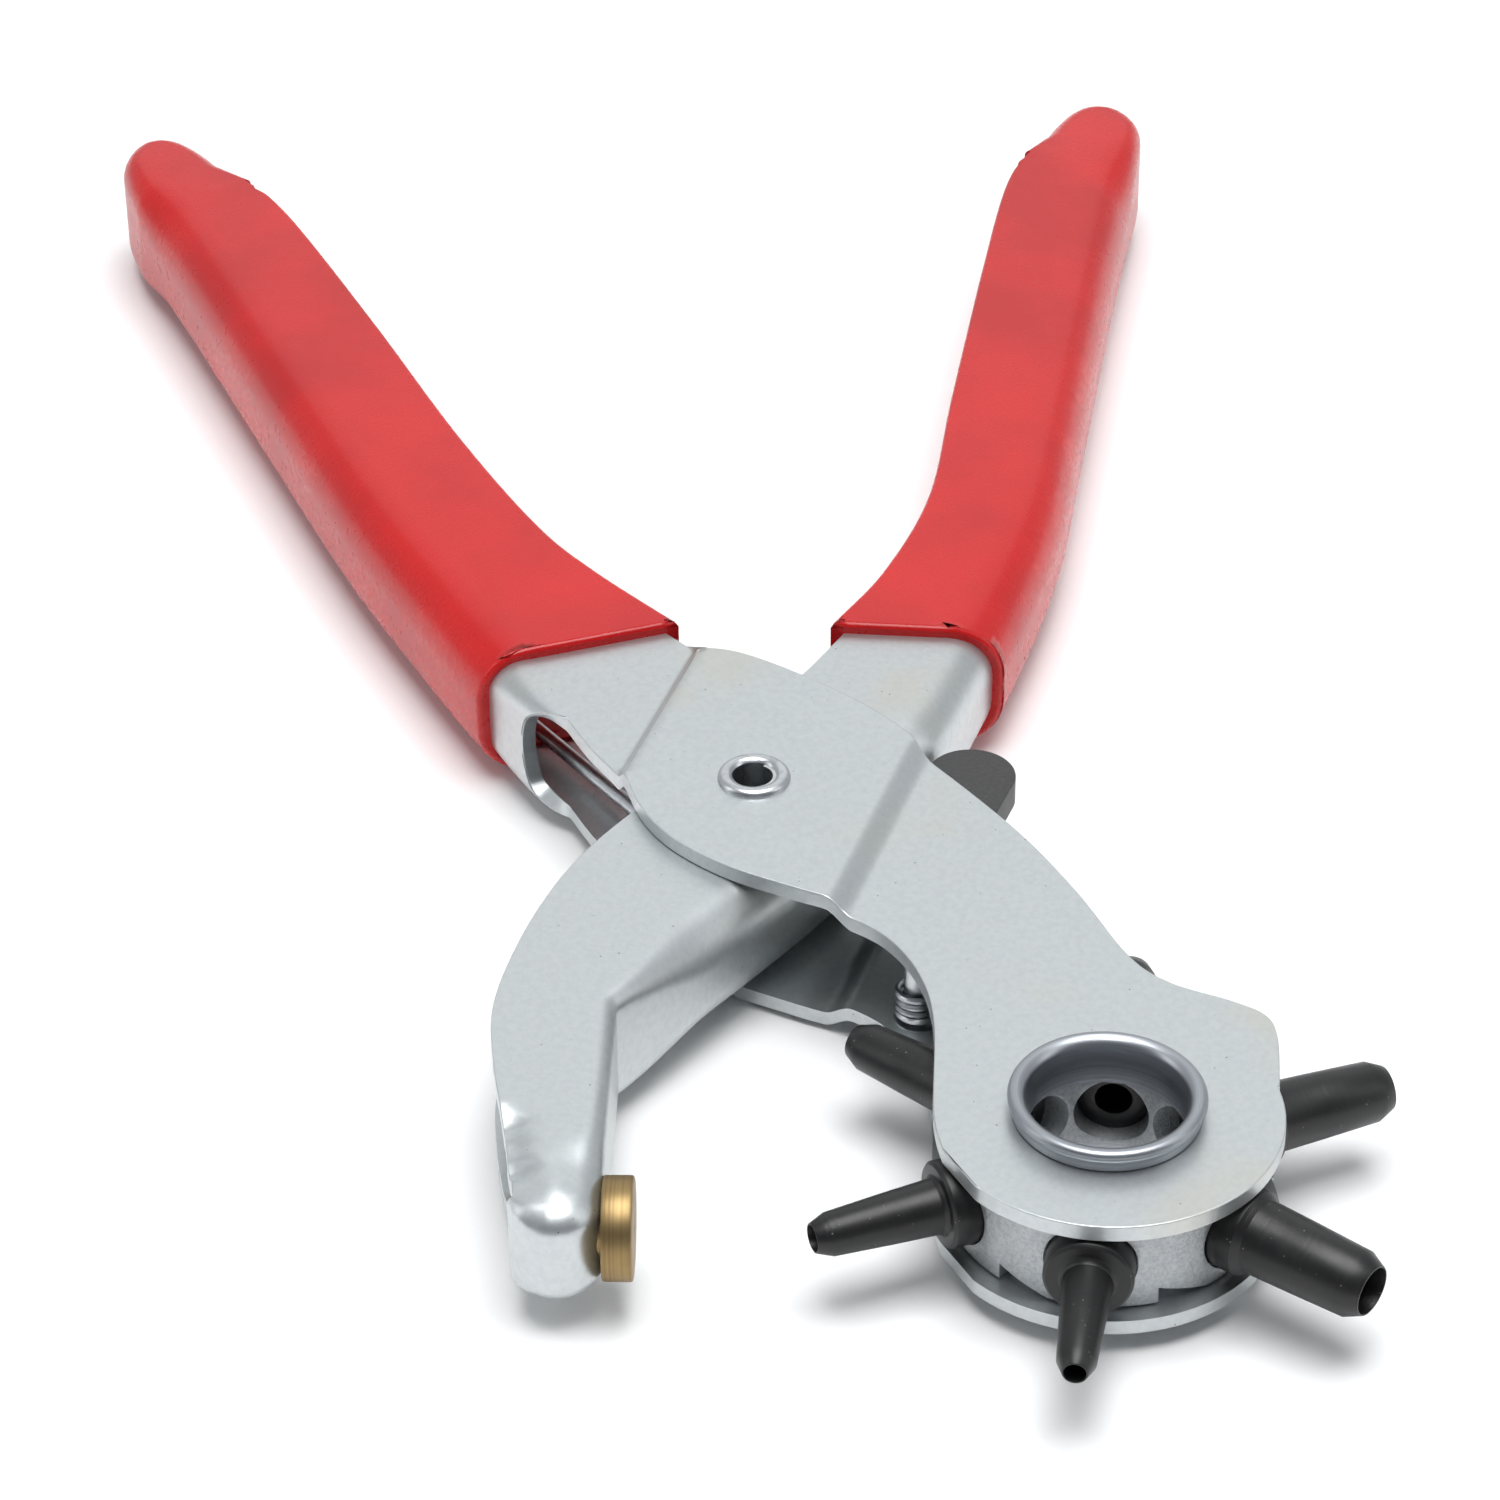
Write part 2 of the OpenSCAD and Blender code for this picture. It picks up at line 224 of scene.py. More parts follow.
class Graph:
    """The node tree of one finish."""

    def __init__(self, name: str, base: tuple[float, float, float]) -> None:
        """Makes a material with one Principled shader.

        Args:
            name: The material's name.
            base: The plain base colour.
        """
        self.material = bpy.data.materials.new(name)
        self.material.use_nodes = True
        self.tree = self.material.node_tree
        self.shader = self.tree.nodes["Principled BSDF"]
        self.shader.inputs["Base Color"].default_value = (*base, 1.0)
        self.material.diffuse_color = (*base, 1.0)

    def add(self, kind: str, settings: dict, sockets: dict) -> bpy.types.Node:
        """Adds any node.

        Args:
            kind: The node's type.
            settings: Its own properties.
            sockets: Values or links of its input sockets, by name or number.

        Returns:
            The node.
        """
        node = self.tree.nodes.new(kind)
        for key, value in settings.items():
            setattr(node, key, value)
        for key, value in sockets.items():
            if isinstance(value, Value):
                value = value.socket
            if isinstance(value, bpy.types.NodeSocket):
                self.tree.links.new(value, node.inputs[key])
            else:
                node.inputs[key].default_value = value
        return node

    def place(
        self, matrix: Matrix, stretch: tuple[float, float, float] = (1, 1, 1)
    ) -> bpy.types.NodeSocket:
        """Object coordinates in millimetres, in a piece's own axes.

        Args:
            matrix: Where the piece's own axes are, in millimetres.
            stretch: Scale along each axis after that.

        Returns:
            The coordinate socket.
        """
        inverse = matrix.inverted()
        own_axes = {
            "Rotation": inverse.to_euler("XYZ"),
            "Location": inverse.translation * MM,
            "Vector": self.add("ShaderNodeTexCoord", {}, {}).outputs["Object"],
        }
        coords = self.add("ShaderNodeMapping", {"vector_type": "POINT"}, own_axes).outputs[0]
        scale = {"Scale": tuple(s / MM for s in stretch), "Vector": coords}
        return self.add("ShaderNodeMapping", {"vector_type": "POINT"}, scale).outputs[0]

    def noise(self, coords: object, scale: float, detail: float = 3.0, rough: float = 0.55) -> Value:
        """Cloudy noise, with its scale in waves per millimetre.

        Args:
            coords: The coordinate socket.
            scale: Waves per millimetre.
            detail: Octaves.
            rough: Strength of the finer octaves.

        Returns:
            The noise, about 0 to 1.
        """
        sockets = {"Vector": coords, "Scale": scale, "Detail": detail, "Roughness": rough}
        return Value(self, self.add("ShaderNodeTexNoise", {}, sockets).outputs[0])

    def specks(self, coords: object, scale: float, size: float) -> Value:
        """Small scattered specks, 1 inside a speck and 0 outside.

        Args:
            coords: The coordinate socket.
            scale: Cells per millimetre.
            size: Radius of a speck, as a share of a cell.

        Returns:
            The mask.
        """
        cells = self.add("ShaderNodeTexVoronoi", {}, {"Vector": coords, "Scale": scale})
        chosen = self.noise(coords, scale * 0.31, 1.0).step(0.56, 0.66)
        return Value(self, cells.outputs["Distance"]).step(size, size * 0.45) * chosen

    def rings(self, matrix: Matrix, scale: float) -> Value:
        """Turning marks: noise that runs round the Z axis of a piece.

        Args:
            matrix: The piece's own axes.
            scale: Marks per millimetre.

        Returns:
            The noise, about 0 to 1.
        """
        axes = self.add("ShaderNodeSeparateXYZ", {}, {0: self.place(matrix)})
        x, y, z = (Value(self, axes.outputs[i]) for i in range(3))
        radius = x._math("SQRT", x * x + y * y)
        joined = self.add("ShaderNodeCombineXYZ", {}, {0: radius, 1: 0.0, 2: z})
        return self.noise(joined.outputs[0], scale, 2.0, 0.7)

    def mix(self, factor: object, first: object, second: object) -> bpy.types.NodeSocket:
        """Mixes two colours.

        Args:
            factor: 0 for the first and 1 for the second.
            first: The first colour or its socket.
            second: The second colour or its socket.

        Returns:
            The mixed colour.
        """
        sockets = {0: factor}
        for key, colour in ((6, first), (7, second)):
            sockets[key] = (*colour, 1.0) if isinstance(colour, tuple) else colour
        return self.add("ShaderNodeMix", {"data_type": "RGBA"}, sockets).outputs[2]

    def dress(self, colour: object, rough: Value, height: Value, depth: float, **fixed: float) -> None:
        """Links the shader.

        Args:
            colour: The base colour's socket.
            rough: The roughness.
            height: The bump's height, 0 to 1.
            depth: The bump's depth in millimetres.
            fixed: Values of other sockets, by name with _ for a space.
        """
        links = self.tree.links
        links.new(colour, self.shader.inputs["Base Color"])
        links.new(rough.clamp(0.04, 1.0).socket, self.shader.inputs["Roughness"])
        bump = self.add("ShaderNodeBump", {}, {"Height": height, "Strength": 1.0, "Distance": depth * MM})
        links.new(bump.outputs[0], self.shader.inputs["Normal"])
        for name, value in fixed.items():
            self.shader.inputs[name.replace("_", " ")].default_value = value


# ---- Finishes -----------------------------------------------------------------------------


@dataclass(frozen=True)
class ZincPlate:
    """Bright zinc plating on rolled sheet: pale, satin, faintly mottled and speckled."""

    name: str = "zinc plated sheet"
    base: tuple[float, float, float] = (0.60, 0.63, 0.635)
    shade: tuple[float, float, float] = (0.50, 0.53, 0.545)
    tint: tuple[float, float, float] = (0.60, 0.56, 0.46)
    roughness: float = 0.30
    slot: Slot = Slot.ZINC

    def material(self, axes: Matrix) -> bpy.types.Material:
        """Makes the material.

        Args:
            axes: The piece's own axes.

        Returns:
            The material.
        """
        g = Graph(self.name, self.base)
        at = g.place(axes)
        cloud = g.noise(at, 0.09, 4.0)
        mottle = g.noise(at, 1.3, 4.0, 0.7)
        grain = g.noise(g.place(axes, (6.0, 1.6, 6.0)), 1.0, 3.0, 0.7)
        specks = g.specks(at, 0.9, 0.11)
        stain = g.noise(at, 0.045, 2.0).step(0.6, 0.74) * 0.35
        colour = g.mix(mottle.step(0.35, 0.7) * 0.5 + cloud * 0.2, self.base, self.shade)
        colour = g.mix(stain, colour, self.tint)
        colour = g.mix(specks * 0.75, colour, (0.10, 0.10, 0.09))
        rough = self.roughness + mottle * 0.10 + cloud * 0.08 + specks * 0.3
        g.dress(colour, rough, grain * 0.5 + mottle * 0.5, 0.012, Metallic=0.92)
        return g.material


@dataclass(frozen=True)
class BrightSteel:
    """Plated steel of small parts: rivets and springs."""

    name: str = "plated rivet steel"
    base: tuple[float, float, float] = (0.60, 0.62, 0.64)
    shade: tuple[float, float, float] = (0.34, 0.36, 0.38)
    roughness: float = 0.24
    slot: Slot = Slot.RIVET

    def material(self, axes: Matrix) -> bpy.types.Material:
        """Makes the material.

        Args:
            axes: The piece's own axes.

        Returns:
            The material.
        """
        g = Graph(self.name, self.base)
        at = g.place(axes)
        worn = g.noise(at, 0.8, 4.0, 0.65)
        fine = g.noise(at, 6.0, 2.0)
        colour = g.mix(worn.step(0.45, 0.75) * 0.6, self.base, self.shade)
        g.dress(colour, self.roughness + worn * 0.16, fine, 0.006, Metallic=1.0)
        return g.material


@dataclass(frozen=True)
class DieCastZinc:
    """Die-cast zinc alloy: grey, grainy, frosted."""

    name: str = "die cast zinc"
    base: tuple[float, float, float] = (0.55, 0.57, 0.58)
    shade: tuple[float, float, float] = (0.36, 0.38, 0.40)
    slot: Slot = Slot.DIE_CAST

    def material(self, axes: Matrix) -> bpy.types.Material:
        """Makes the material.

        Args:
            axes: The piece's own axes.

        Returns:
            The material.
        """
        g = Graph(self.name, self.base)
        at = g.place(axes)
        grain = g.noise(at, 2.4, 5.0, 0.75)
        cloud = g.noise(at, 0.35, 3.0)
        colour = g.mix(grain.step(0.35, 0.68) * 0.7 + cloud * 0.2, self.base, self.shade)
        rough = 0.36 + grain * 0.2
        g.dress(colour, rough, grain, 0.10, Metallic=0.9)
        return g.material


@dataclass(frozen=True)
class TurnedMetal:
    """A turned part, with fine marks round its axis."""

    name: str
    base: tuple[float, float, float]
    shade: tuple[float, float, float]
    slot: Slot
    roughness: float = 0.28
    marks: float = 5.0
    depth: float = 0.02
    metallic: float = 1.0
    dust: float = 0.0

    def material(self, axes: Matrix) -> bpy.types.Material:
        """Makes the material.

        Args:
            axes: The piece's own axes, with Z along its turning axis.

        Returns:
            The material.
        """
        g = Graph(self.name, self.base)
        at = g.place(axes)
        rings = g.rings(axes, self.marks)
        cloud = g.noise(at, 0.5, 4.0)
        colour = g.mix(rings.step(0.35, 0.7) * 0.6 + cloud * 0.25, self.base, self.shade)
        rough = self.roughness + rings * 0.14 + cloud * 0.1
        if self.dust:
            dust = g.specks(at, 1.7, 0.17)
            colour = g.mix(dust * self.dust, colour, (0.33, 0.30, 0.26))
            rough = rough + dust * 0.3
        g.dress(colour, rough, rings, self.depth, Metallic=self.metallic)
        return g.material


@dataclass(frozen=True)
class DippedPvc:
    """Dipped red PVC: glossy, with a slight orange-peel surface."""

    name: str = "dipped red pvc"
    base: tuple[float, float, float] = (0.54, 0.008, 0.008)
    shade: tuple[float, float, float] = (0.43, 0.005, 0.006)
    slot: Slot = Slot.PVC

    def material(self, axes: Matrix) -> bpy.types.Material:
        """Makes the material.

        Args:
            axes: The piece's own axes.

        Returns:
            The material.
        """
        g = Graph(self.name, self.base)
        at = g.place(axes)
        cloud = g.noise(at, 0.05, 3.0)
        peel = g.noise(at, 0.7, 2.0)
        dust = g.specks(at, 0.45, 0.05)
        colour = g.mix(cloud.step(0.3, 0.7), self.base, self.shade)
        colour = g.mix(dust * 0.5, colour, (0.62, 0.25, 0.22))
        rough = 0.21 + peel * 0.08 + cloud * 0.06
        g.dress(colour, rough, peel, 0.003, Specular_IOR_Level=0.4)
        return g.material


@dataclass(frozen=True)
class LatchPaint:
    """Thin black paint over a stamped lever."""

    name: str = "black latch paint"
    base: tuple[float, float, float] = (0.030, 0.030, 0.031)
    slot: Slot = Slot.LATCH

    def material(self, axes: Matrix) -> bpy.types.Material:
        """Makes the material.

        Args:
            axes: The piece's own axes.

        Returns:
            The material.
        """
        g = Graph(self.name, self.base)
        at = g.place(axes)
        grain = g.noise(at, 2.2, 4.0, 0.7)
        colour = g.mix(grain.step(0.4, 0.75), self.base, (0.055, 0.053, 0.052))
        g.dress(colour, 0.38 + grain * 0.2, grain, 0.05)
        return g.material


OXIDE = TurnedMetal(
    "black oxide", (0.004, 0.004, 0.0045), (0.009, 0.0085, 0.008), Slot.OXIDE, 0.28, 4.0, 0.02, 0.0, 0.5
)
BRASS = TurnedMetal("turned brass", (0.34, 0.24, 0.11), (0.22, 0.15, 0.07), Slot.BRASS, 0.34, 4.0, 0.02)
HUB = TurnedMetal("turned hub", (0.44, 0.46, 0.49), (0.28, 0.30, 0.33), Slot.HUB, 0.26, 3.0, 0.02)


# ---- Curves and meshes --------------------------------------------------------------------


def turn(degrees: float, at: tuple[float, float, float] = (0, 0, 0)) -> Matrix:
    """A turn about Z, then a move.

    Args:
        degrees: The turn.
        at: The move, in millimetres.

    Returns:
        The matrix.
    """
    return Matrix.Translation(at) @ Matrix.Rotation(math.radians(degrees), 4, "Z")


def axis_matrix(at: Vector, axis: Vector) -> Matrix:
    """A place whose Z runs along an axis.

    Args:
        at: The place, in millimetres.
        axis: The direction of Z.

    Returns:
        The matrix.
    """
    return Matrix.Translation(at) @ axis.to_track_quat("Z", "Y").to_matrix().to_4x4()


def smooth_curve(points: list[tuple[float, float]], steps: int = 8, first: int = 0) -> Curve:
    """A smooth open curve through points.

    Args:
        points: The points, in millimetres.
        steps: Steps between neighbours.
        first: Steps of the first stretch, if it differs.

    Returns:
        The curve's points.
    """
    p = [Vector(q) for q in points]
    last = len(p) - 1
    curve = []
    for i in range(last):
        p0, p1, p2, p3 = p[max(i - 1, 0)], p[i], p[i + 1], p[min(i + 2, last)]
        count = first if first and i == 0 else steps
        for k in range(count):
            t = k / count
            bend = (2 * p0 - 5 * p1 + 4 * p2 - p3) * t * t + (3 * p1 - p0 - 3 * p2 + p3) * t**3
            curve.append(0.5 * (2 * p1 + (p2 - p0) * t + bend))
    return [*curve, p[last]]


def ways_of(curve: Curve) -> Curve:
    """The unit vectors along a curve, one for each of its points.

    Args:
        curve: The curve.

    Returns:
        The vectors.
    """
    last = len(curve) - 1
    return [(curve[min(i + 1, last)] - curve[max(i - 1, 0)]).normalized() for i in range(last + 1)]


def sides_of(curve: Curve) -> Curve:
    """The unit vectors to the left of a curve, one for each of its points.

    Args:
        curve: The curve.

    Returns:
        The vectors.
    """
    return [Vector((-w.y, w.x)) for w in ways_of(curve)]


def shifted(curve: Curve, distance: float) -> Curve:
    """A curve moved to its left.

    Args:
        curve: The curve.
        distance: How far, in millimetres.

    Returns:
        The moved curve.
    """
    return [p + side * distance for p, side in zip(curve, sides_of(curve))]


def ease(value: float, start: float, end: float) -> float:
    """A smooth rise from 0 at start to 1 at end.

    Args:
        value: Where to look.
        start: Where the rise starts.
        end: Where the rise ends.

    Returns:
        The rise.
    """
    t = min(max((value - start) / (end - start), 0.0), 1.0)
    return t * t * (3 - 2 * t)


def sharpen(bm: bmesh.types.BMesh, degrees: float) -> None:
    """Makes every face smooth and every edge above an angle sharp.

    Args:
        bm: The mesh.
        degrees: The angle.
    """
    for f in bm.faces:
        f.smooth = True
    for e in bm.edges:
        if len(e.link_faces) == 2:
            e.smooth = e.calc_face_angle(0.0) < math.radians(degrees)


def piece(
    bm: bmesh.types.BMesh,
    name: str,
    finish: object,
    axes: Matrix,
    body: Body | None,
    replaces: tuple[str, ...] = (),
    sharp: float = 35.0,
) -> bpy.types.Object:
    """Turns a mesh in millimetres into a finished piece.

    Args:
        bm: The mesh, which is freed.
        name: The piece's name.
        finish: Its finish.
        axes: Its own axes, for the finish.
        body: The body it rides on, or None to leave it unattached.
        replaces: The CAD nodes that it stands for.
        sharp: Edges above this angle stay sharp.

    Returns:
        The piece.
    """
    sharpen(bm, sharp)
    bmesh.ops.scale(bm, vec=(MM, MM, MM), verts=bm.verts)
    mesh = bpy.data.meshes.new(name)
    bm.to_mesh(mesh)
    bm.free()
    obj = bpy.data.objects.new(name, mesh)
    bpy.context.scene.collection.objects.link(obj)
    mesh.materials.append(finish.material(axes))
    if body is not None:
        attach(obj, body.value)
    if replaces:
        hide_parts(*replaces)
    LOG.info("made %s: %d faces, finish %s", name, len(mesh.polygons), finish.name)
    return obj


def soften(obj: bpy.types.Object, width: float, segments: int = 2) -> None:
    """Rounds the marked edges of a piece.

    Args:
        obj: The piece.
        width: The rounding, in millimetres.
        segments: Its segments.
    """
    bevel = obj.modifiers.new("rounding", "BEVEL")
    bevel.width = width * MM
    bevel.segments = segments
    bevel.limit_method = "WEIGHT"
    bevel.use_clamp_overlap = False
    bevel.harden_normals = True


def lathe(profile: Profile, axes: Matrix, steps: int = 72, rounding: float = 0.0) -> bmesh.types.BMesh:
    """Spins a closed profile round Z.

    Args:
        profile: Radius and height of each corner, in millimetres.
        axes: Where the turned shape goes.
        steps: Steps of the full turn.
        rounding: Rounding of its hard edges.

    Returns:
        The mesh.
    """
    bm = bmesh.new()
    verts = [bm.verts.new((r, 0, z)) for r, z in profile]
    edges = [bm.edges.new((verts[i - 1], verts[i])) for i in range(len(verts))]
    bmesh.ops.spin(
        bm, geom=verts + edges, cent=(0, 0, 0), axis=(0, 0, 1), dvec=(0, 0, 0),
        angle=math.tau, steps=steps, use_merge=True, use_normal_flip=False, use_duplicate=False,
    )
    bmesh.ops.remove_doubles(bm, verts=bm.verts, dist=MERGE)
    bmesh.ops.recalc_face_normals(bm, faces=bm.faces)
    round_edges(bm, rounding)
    bm.transform(axes)
    return bm


def round_edges(bm: bmesh.types.BMesh, width: float, segments: int = 2, angle: float = 30.0) -> None:
    """Bevels the edges of a mesh above an angle.

    Args:
        bm: The mesh.
        width: The bevel's width; 0 leaves the mesh alone.
        segments: Its segments.
        angle: The angle, in degrees.
    """
    if not width:
        return
    hard = [e for e in bm.edges if len(e.link_faces) == 2 and e.calc_face_angle(0) > math.radians(angle)]
    bmesh.ops.bevel(
        bm, geom=hard, offset=width, offset_type="OFFSET", segments=segments, profile=0.5,
        affect="EDGES", clamp_overlap=True, material=-1,
    )


def cad_copy(node: str, rounding: float, segments: int = 2) -> bmesh.types.BMesh:
    """A copy of a CAD node's mesh in millimetres, with its edges rounded.

    Args:
        node: The CAD node.
        rounding: The rounding, in millimetres.
        segments: Its segments.

    Returns:
        The mesh.
    """
    bm = bmesh.new()
    bm.from_mesh(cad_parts[node].data)
    bmesh.ops.scale(bm, vec=(1 / MM, 1 / MM, 1 / MM), verts=bm.verts)
    bmesh.ops.remove_doubles(bm, verts=bm.verts, dist=1e-3)
    bmesh.ops.dissolve_limit(
        bm, angle_limit=math.radians(1.0), use_dissolve_boundaries=False, verts=bm.verts, edges=bm.edges
    )
    round_edges(bm, rounding, segments)
    return bm


def wire(path: Curve, radius: float, sides: int = 14) -> bmesh.types.BMesh:
    """A round wire along a path, with rounded ends.

    Args:
        path: The path's points, in millimetres.
        radius: The wire's radius.
        sides: Its sides.

    Returns:
        The mesh.
    """
    ways = ways_of(path)
    bm = bmesh.new()
    start = axis_matrix(path[0], ways[0])
    ring = bmesh.ops.create_circle(bm, cap_ends=True, radius=radius, segments=sides, matrix=start)
    verts = ring["verts"]
    face = bm.faces[:][0]
    for i in range(1, len(path)):
        swing = ways[i - 1].rotation_difference(ways[i]).to_matrix().to_4x4()
        step = Matrix.Translation(path[i]) @ swing @ Matrix.Translation(-path[i - 1])
        ret = bmesh.ops.extrude_face_region(bm, geom=[face])
        new_face = [g for g in ret["geom"] if isinstance(g, bmesh.types.BMFace)][0]
        if i > 1:
            bmesh.ops.delete(bm, geom=[face], context="FACES_ONLY")
        face = new_face
        bmesh.ops.transform(bm, matrix=step, verts=face.verts[:])
    bmesh.ops.recalc_face_normals(bm, faces=bm.faces)
    round_edges(bm, radius * 0.45, 3, 60.0)
    return bm


# ---- Pressed channel ----------------------------------------------------------------------


def spread(rows: list[float], step: float, reach: float, way: Vector) -> Curve:
    """Points in straight rows.

    Args:
        rows: How far each row lies from the origin.
        step: Distance between the points of a row.
        reach: Half length of a row.
        way: Unit vector across the rows.

    Returns:
        The points.
    """
    along = Vector((way.y, -way.x))
    half = int(reach / step)
    return [way * d + along * step * k for d in rows for k in range(-half, half + 1)]


@dataclass
class Channel:
    """A channel pressed from sheet: two plates joined by a web along one side.

    The upper half is filled from the plate's outline, its web side is rolled over the bend
    and down to the middle plane, and the lower half is its mirror image.

    Attributes:
        skin: The outside of the web, seen from above.
        free: The plate's open edge, from the end of the skin back to its start.
        web_side: 1 or -1 for a plate to the right or left of the skin.
        height: Half height of the channel.
        bend: The bend's radius at a point of the skin.
        rise: How far the plate is pressed outwards at a point.
        limit: Where a point of the web goes.
        holes: Place and radius of each round hole.
        grid: Points inside the plate that its mesh uses.
        bend_steps: Steps of the mesh over the bend.
        wall_steps: Steps of the mesh down the web.
        tight: The bend's radius at the end of the skin.
        both_ends: Whether the bend is as tight at the start of the skin.
        thickness: Thickness of the sheet.
    """

    skin: Curve
    free: Curve
    web_side: float
    height: float
    bend: Callable[[Vector], float]
    rise: Callable[[Vector], float] = lambda p: 0.0
    limit: Callable[[Vector], Vector] = lambda p: p
    holes: list[tuple[tuple[float, float], float]] = field(default_factory=list)
    grid: Curve = field(default_factory=list)
    bend_steps: int = 8
    wall_steps: int = 6
    tight: float = 0.6
    both_ends: bool = False
    thickness: float = SHEET

    def radii(self) -> list[float]:
        """The bend's radius at each point of the skin, tighter towards its end or ends.

        Returns:
            The radii.
        """
        lengths = [(q - p).length for p, q in zip(self.skin, self.skin[1:])]
        before = [sum(lengths[:i]) for i in range(len(self.skin))]
        total = before[-1]
        near = [total - b if not self.both_ends else min(b, total - b) for b in before]
        return [min(self.bend(p), self.tight + TIGHTENING * d) for p, d in zip(self.skin, near)]

    def rim(self, flat: Curve) -> Curve:
        """The plate's free edge, led smoothly to the ends of its web side.

        Args:
            flat: The web side of the flat plate.

        Returns:
            The edge.
        """
        ends = [-1, 0] if self.both_ends else [-1]
        rim = [p.copy() for p in self.free]
        for end in ends:
            inset = flat[end] - self.skin[end]
            for p, start in zip(rim, self.free):
                p += inset * (1 - ease((start - self.skin[end]).length, 0, RIM_FADE))
        return rim

    def plate(self, bm: bmesh.types.BMesh, flat: Curve) -> list[bmesh.types.BMEdge]:
        """Fills the flat plate with even triangles.

        Args:
            bm: The mesh that takes the plate.
            flat: The web side of the flat plate.

        Returns:
            The edges along the web side.
        """
        station = bm.verts.layers.int.new("station")
        turns = [Vector((math.cos(k * math.pi / 36), math.sin(k * math.pi / 36))) for k in range(72)]
        rings = [[Vector(at) + radius * t for t in turns] for at, radius in self.holes]
        points, edges = [], []
        for loop in [[*flat, *self.rim(flat)], *rings]:
            first = len(points)
            points.extend(loop)
            edges.extend((first + i, first + (i + 1) % len(loop)) for i in range(len(loop)))
        near = KDTree(len(points))
        for i, p in enumerate(points):
            near.insert(p.to_3d(), i)
        near.balance()
        points.extend(q for q in self.grid if near.find(q.to_3d())[2] > GRID_CLEARANCE)
        spots, _, corners, sources, _, _ = delaunay_2d_cdt(points, edges, [], 2, 1e-5)
        verts = [bm.verts.new((p.x, p.y, self.height)) for p in spots]
        for v, made_from in zip(verts, sources):
            v[station] = min((i + 1 for i in made_from if i < len(flat)), default=0)
        for face in corners:
            middle = sum((spots[i] for i in face), Vector((0, 0))) / len(face)
            if all((middle - Vector(at)).length > radius for at, radius in self.holes):
                bm.faces.new([verts[i] for i in face])
        loose = [v for v in verts if not v.link_faces]
        bmesh.ops.delete(bm, geom=loose, context="VERTS")
        return [e for e in bm.edges if e.is_boundary and all(v[station] for v in e.verts)]

    def build(self) -> bmesh.types.BMesh:
        """Models the outer surface.

        Returns:
            The mesh, in the arm's own frame.
        """
        bm = bmesh.new()
        outward = [s * self.web_side for s in sides_of(self.skin)]
        radii = self.radii()
        flat = [p - n * r for p, n, r in zip(self.skin, outward, radii)]
        roll = self.plate(bm, flat)
        station = bm.verts.layers.int["station"]
        inward = bm.verts.layers.float_vector.new("inward")
        depth = [min(r / self.thickness, 1.0) for r in radii]
        for v in bm.verts:
            v[inward] = Vector((0, 0, -depth[v[station] - 1] if v[station] else -1.0))
        for step in range(1, self.bend_steps + self.wall_steps + 1):
            rolled = bmesh.ops.extrude_edge_only(bm, edges=roll)["geom"]
            roll = [g for g in rolled if isinstance(g, bmesh.types.BMEdge)]
            for v in (g for g in rolled if isinstance(g, bmesh.types.BMVert)):
                i = v[station] - 1
                angle = math.pi / 2 * min(step / self.bend_steps, 1.0)
                down = max(step - self.bend_steps, 0) / self.wall_steps
                z = (self.height - radii[i] * (1 - math.cos(angle))) * (1 - down)
                at = flat[i] + outward[i] * radii[i] * math.sin(angle)
                v.co = (at.x, at.y, z)
                side = -outward[i] * math.sin(angle)
                v[inward] = Vector((side.x, side.y, -math.cos(angle))) * depth[i]
        for v in bm.verts:
            if v[station]:
                v.co = self.limit(v.co.copy())
            v.co.z *= 1 + self.rise(v.co) / self.height
        bmesh.ops.mirror(bm, geom=bm.verts[:] + bm.edges[:] + bm.faces[:], axis="Z", merge_dist=1e-3)
        bmesh.ops.remove_doubles(bm, verts=bm.verts, dist=WELD)
        return bm

    def solid(self, cut: tuple[Vector, Vector] | None = None) -> bmesh.types.BMesh:
        """Models the sheet with its thickness, and marks the outer edges that are rounded later.

        Args:
            cut: Two points of a line; what lies to the right of it is left out.

        Returns:
            The mesh, in the arm's own frame.
        """
        bm = self.build()
        if cut:
            along = (cut[1] - cut[0]).normalized()
            normal = Vector((-along.y, along.x, 0))
            whole = bm.verts[:] + bm.edges[:] + bm.faces[:]
            bmesh.ops.bisect_plane(
                bm, geom=whole, dist=WELD, plane_co=cut[0].to_3d(), plane_no=normal, clear_inner=True
            )
            lip = [v for v in bm.verts if abs((v.co - cut[0].to_3d()).dot(normal)) < 0.03]
            bmesh.ops.remove_doubles(bm, verts=lip, dist=LIP_SPACING)
        inward = bm.verts.layers.float_vector["inward"]
        weight = bm.edges.layers.float.new("bevel_weight_edge")
        rim = [e for e in bm.edges if e.is_boundary]
        far = max(v.co.y for v in bm.verts) - PLAIN_TIP
        copy = bmesh.ops.duplicate(bm, geom=bm.verts[:] + bm.edges[:] + bm.faces[:])
        for v in (g for g in copy["geom"] if isinstance(g, bmesh.types.BMVert)):
            way = v[inward]
            v.co += Vector((way.x, way.y, way.z if v.co.z > 0 else -way.z)) * self.thickness
        twin = copy["vert_map"]
        for e in rim:
            e[weight] = float(max(v.co.y for v in e.verts) < far)
            bm.faces.new([e.verts[0], e.verts[1], twin[e.verts[1]], twin[e.verts[0]]])
        bmesh.ops.recalc_face_normals(bm, faces=bm.faces)
        return bm


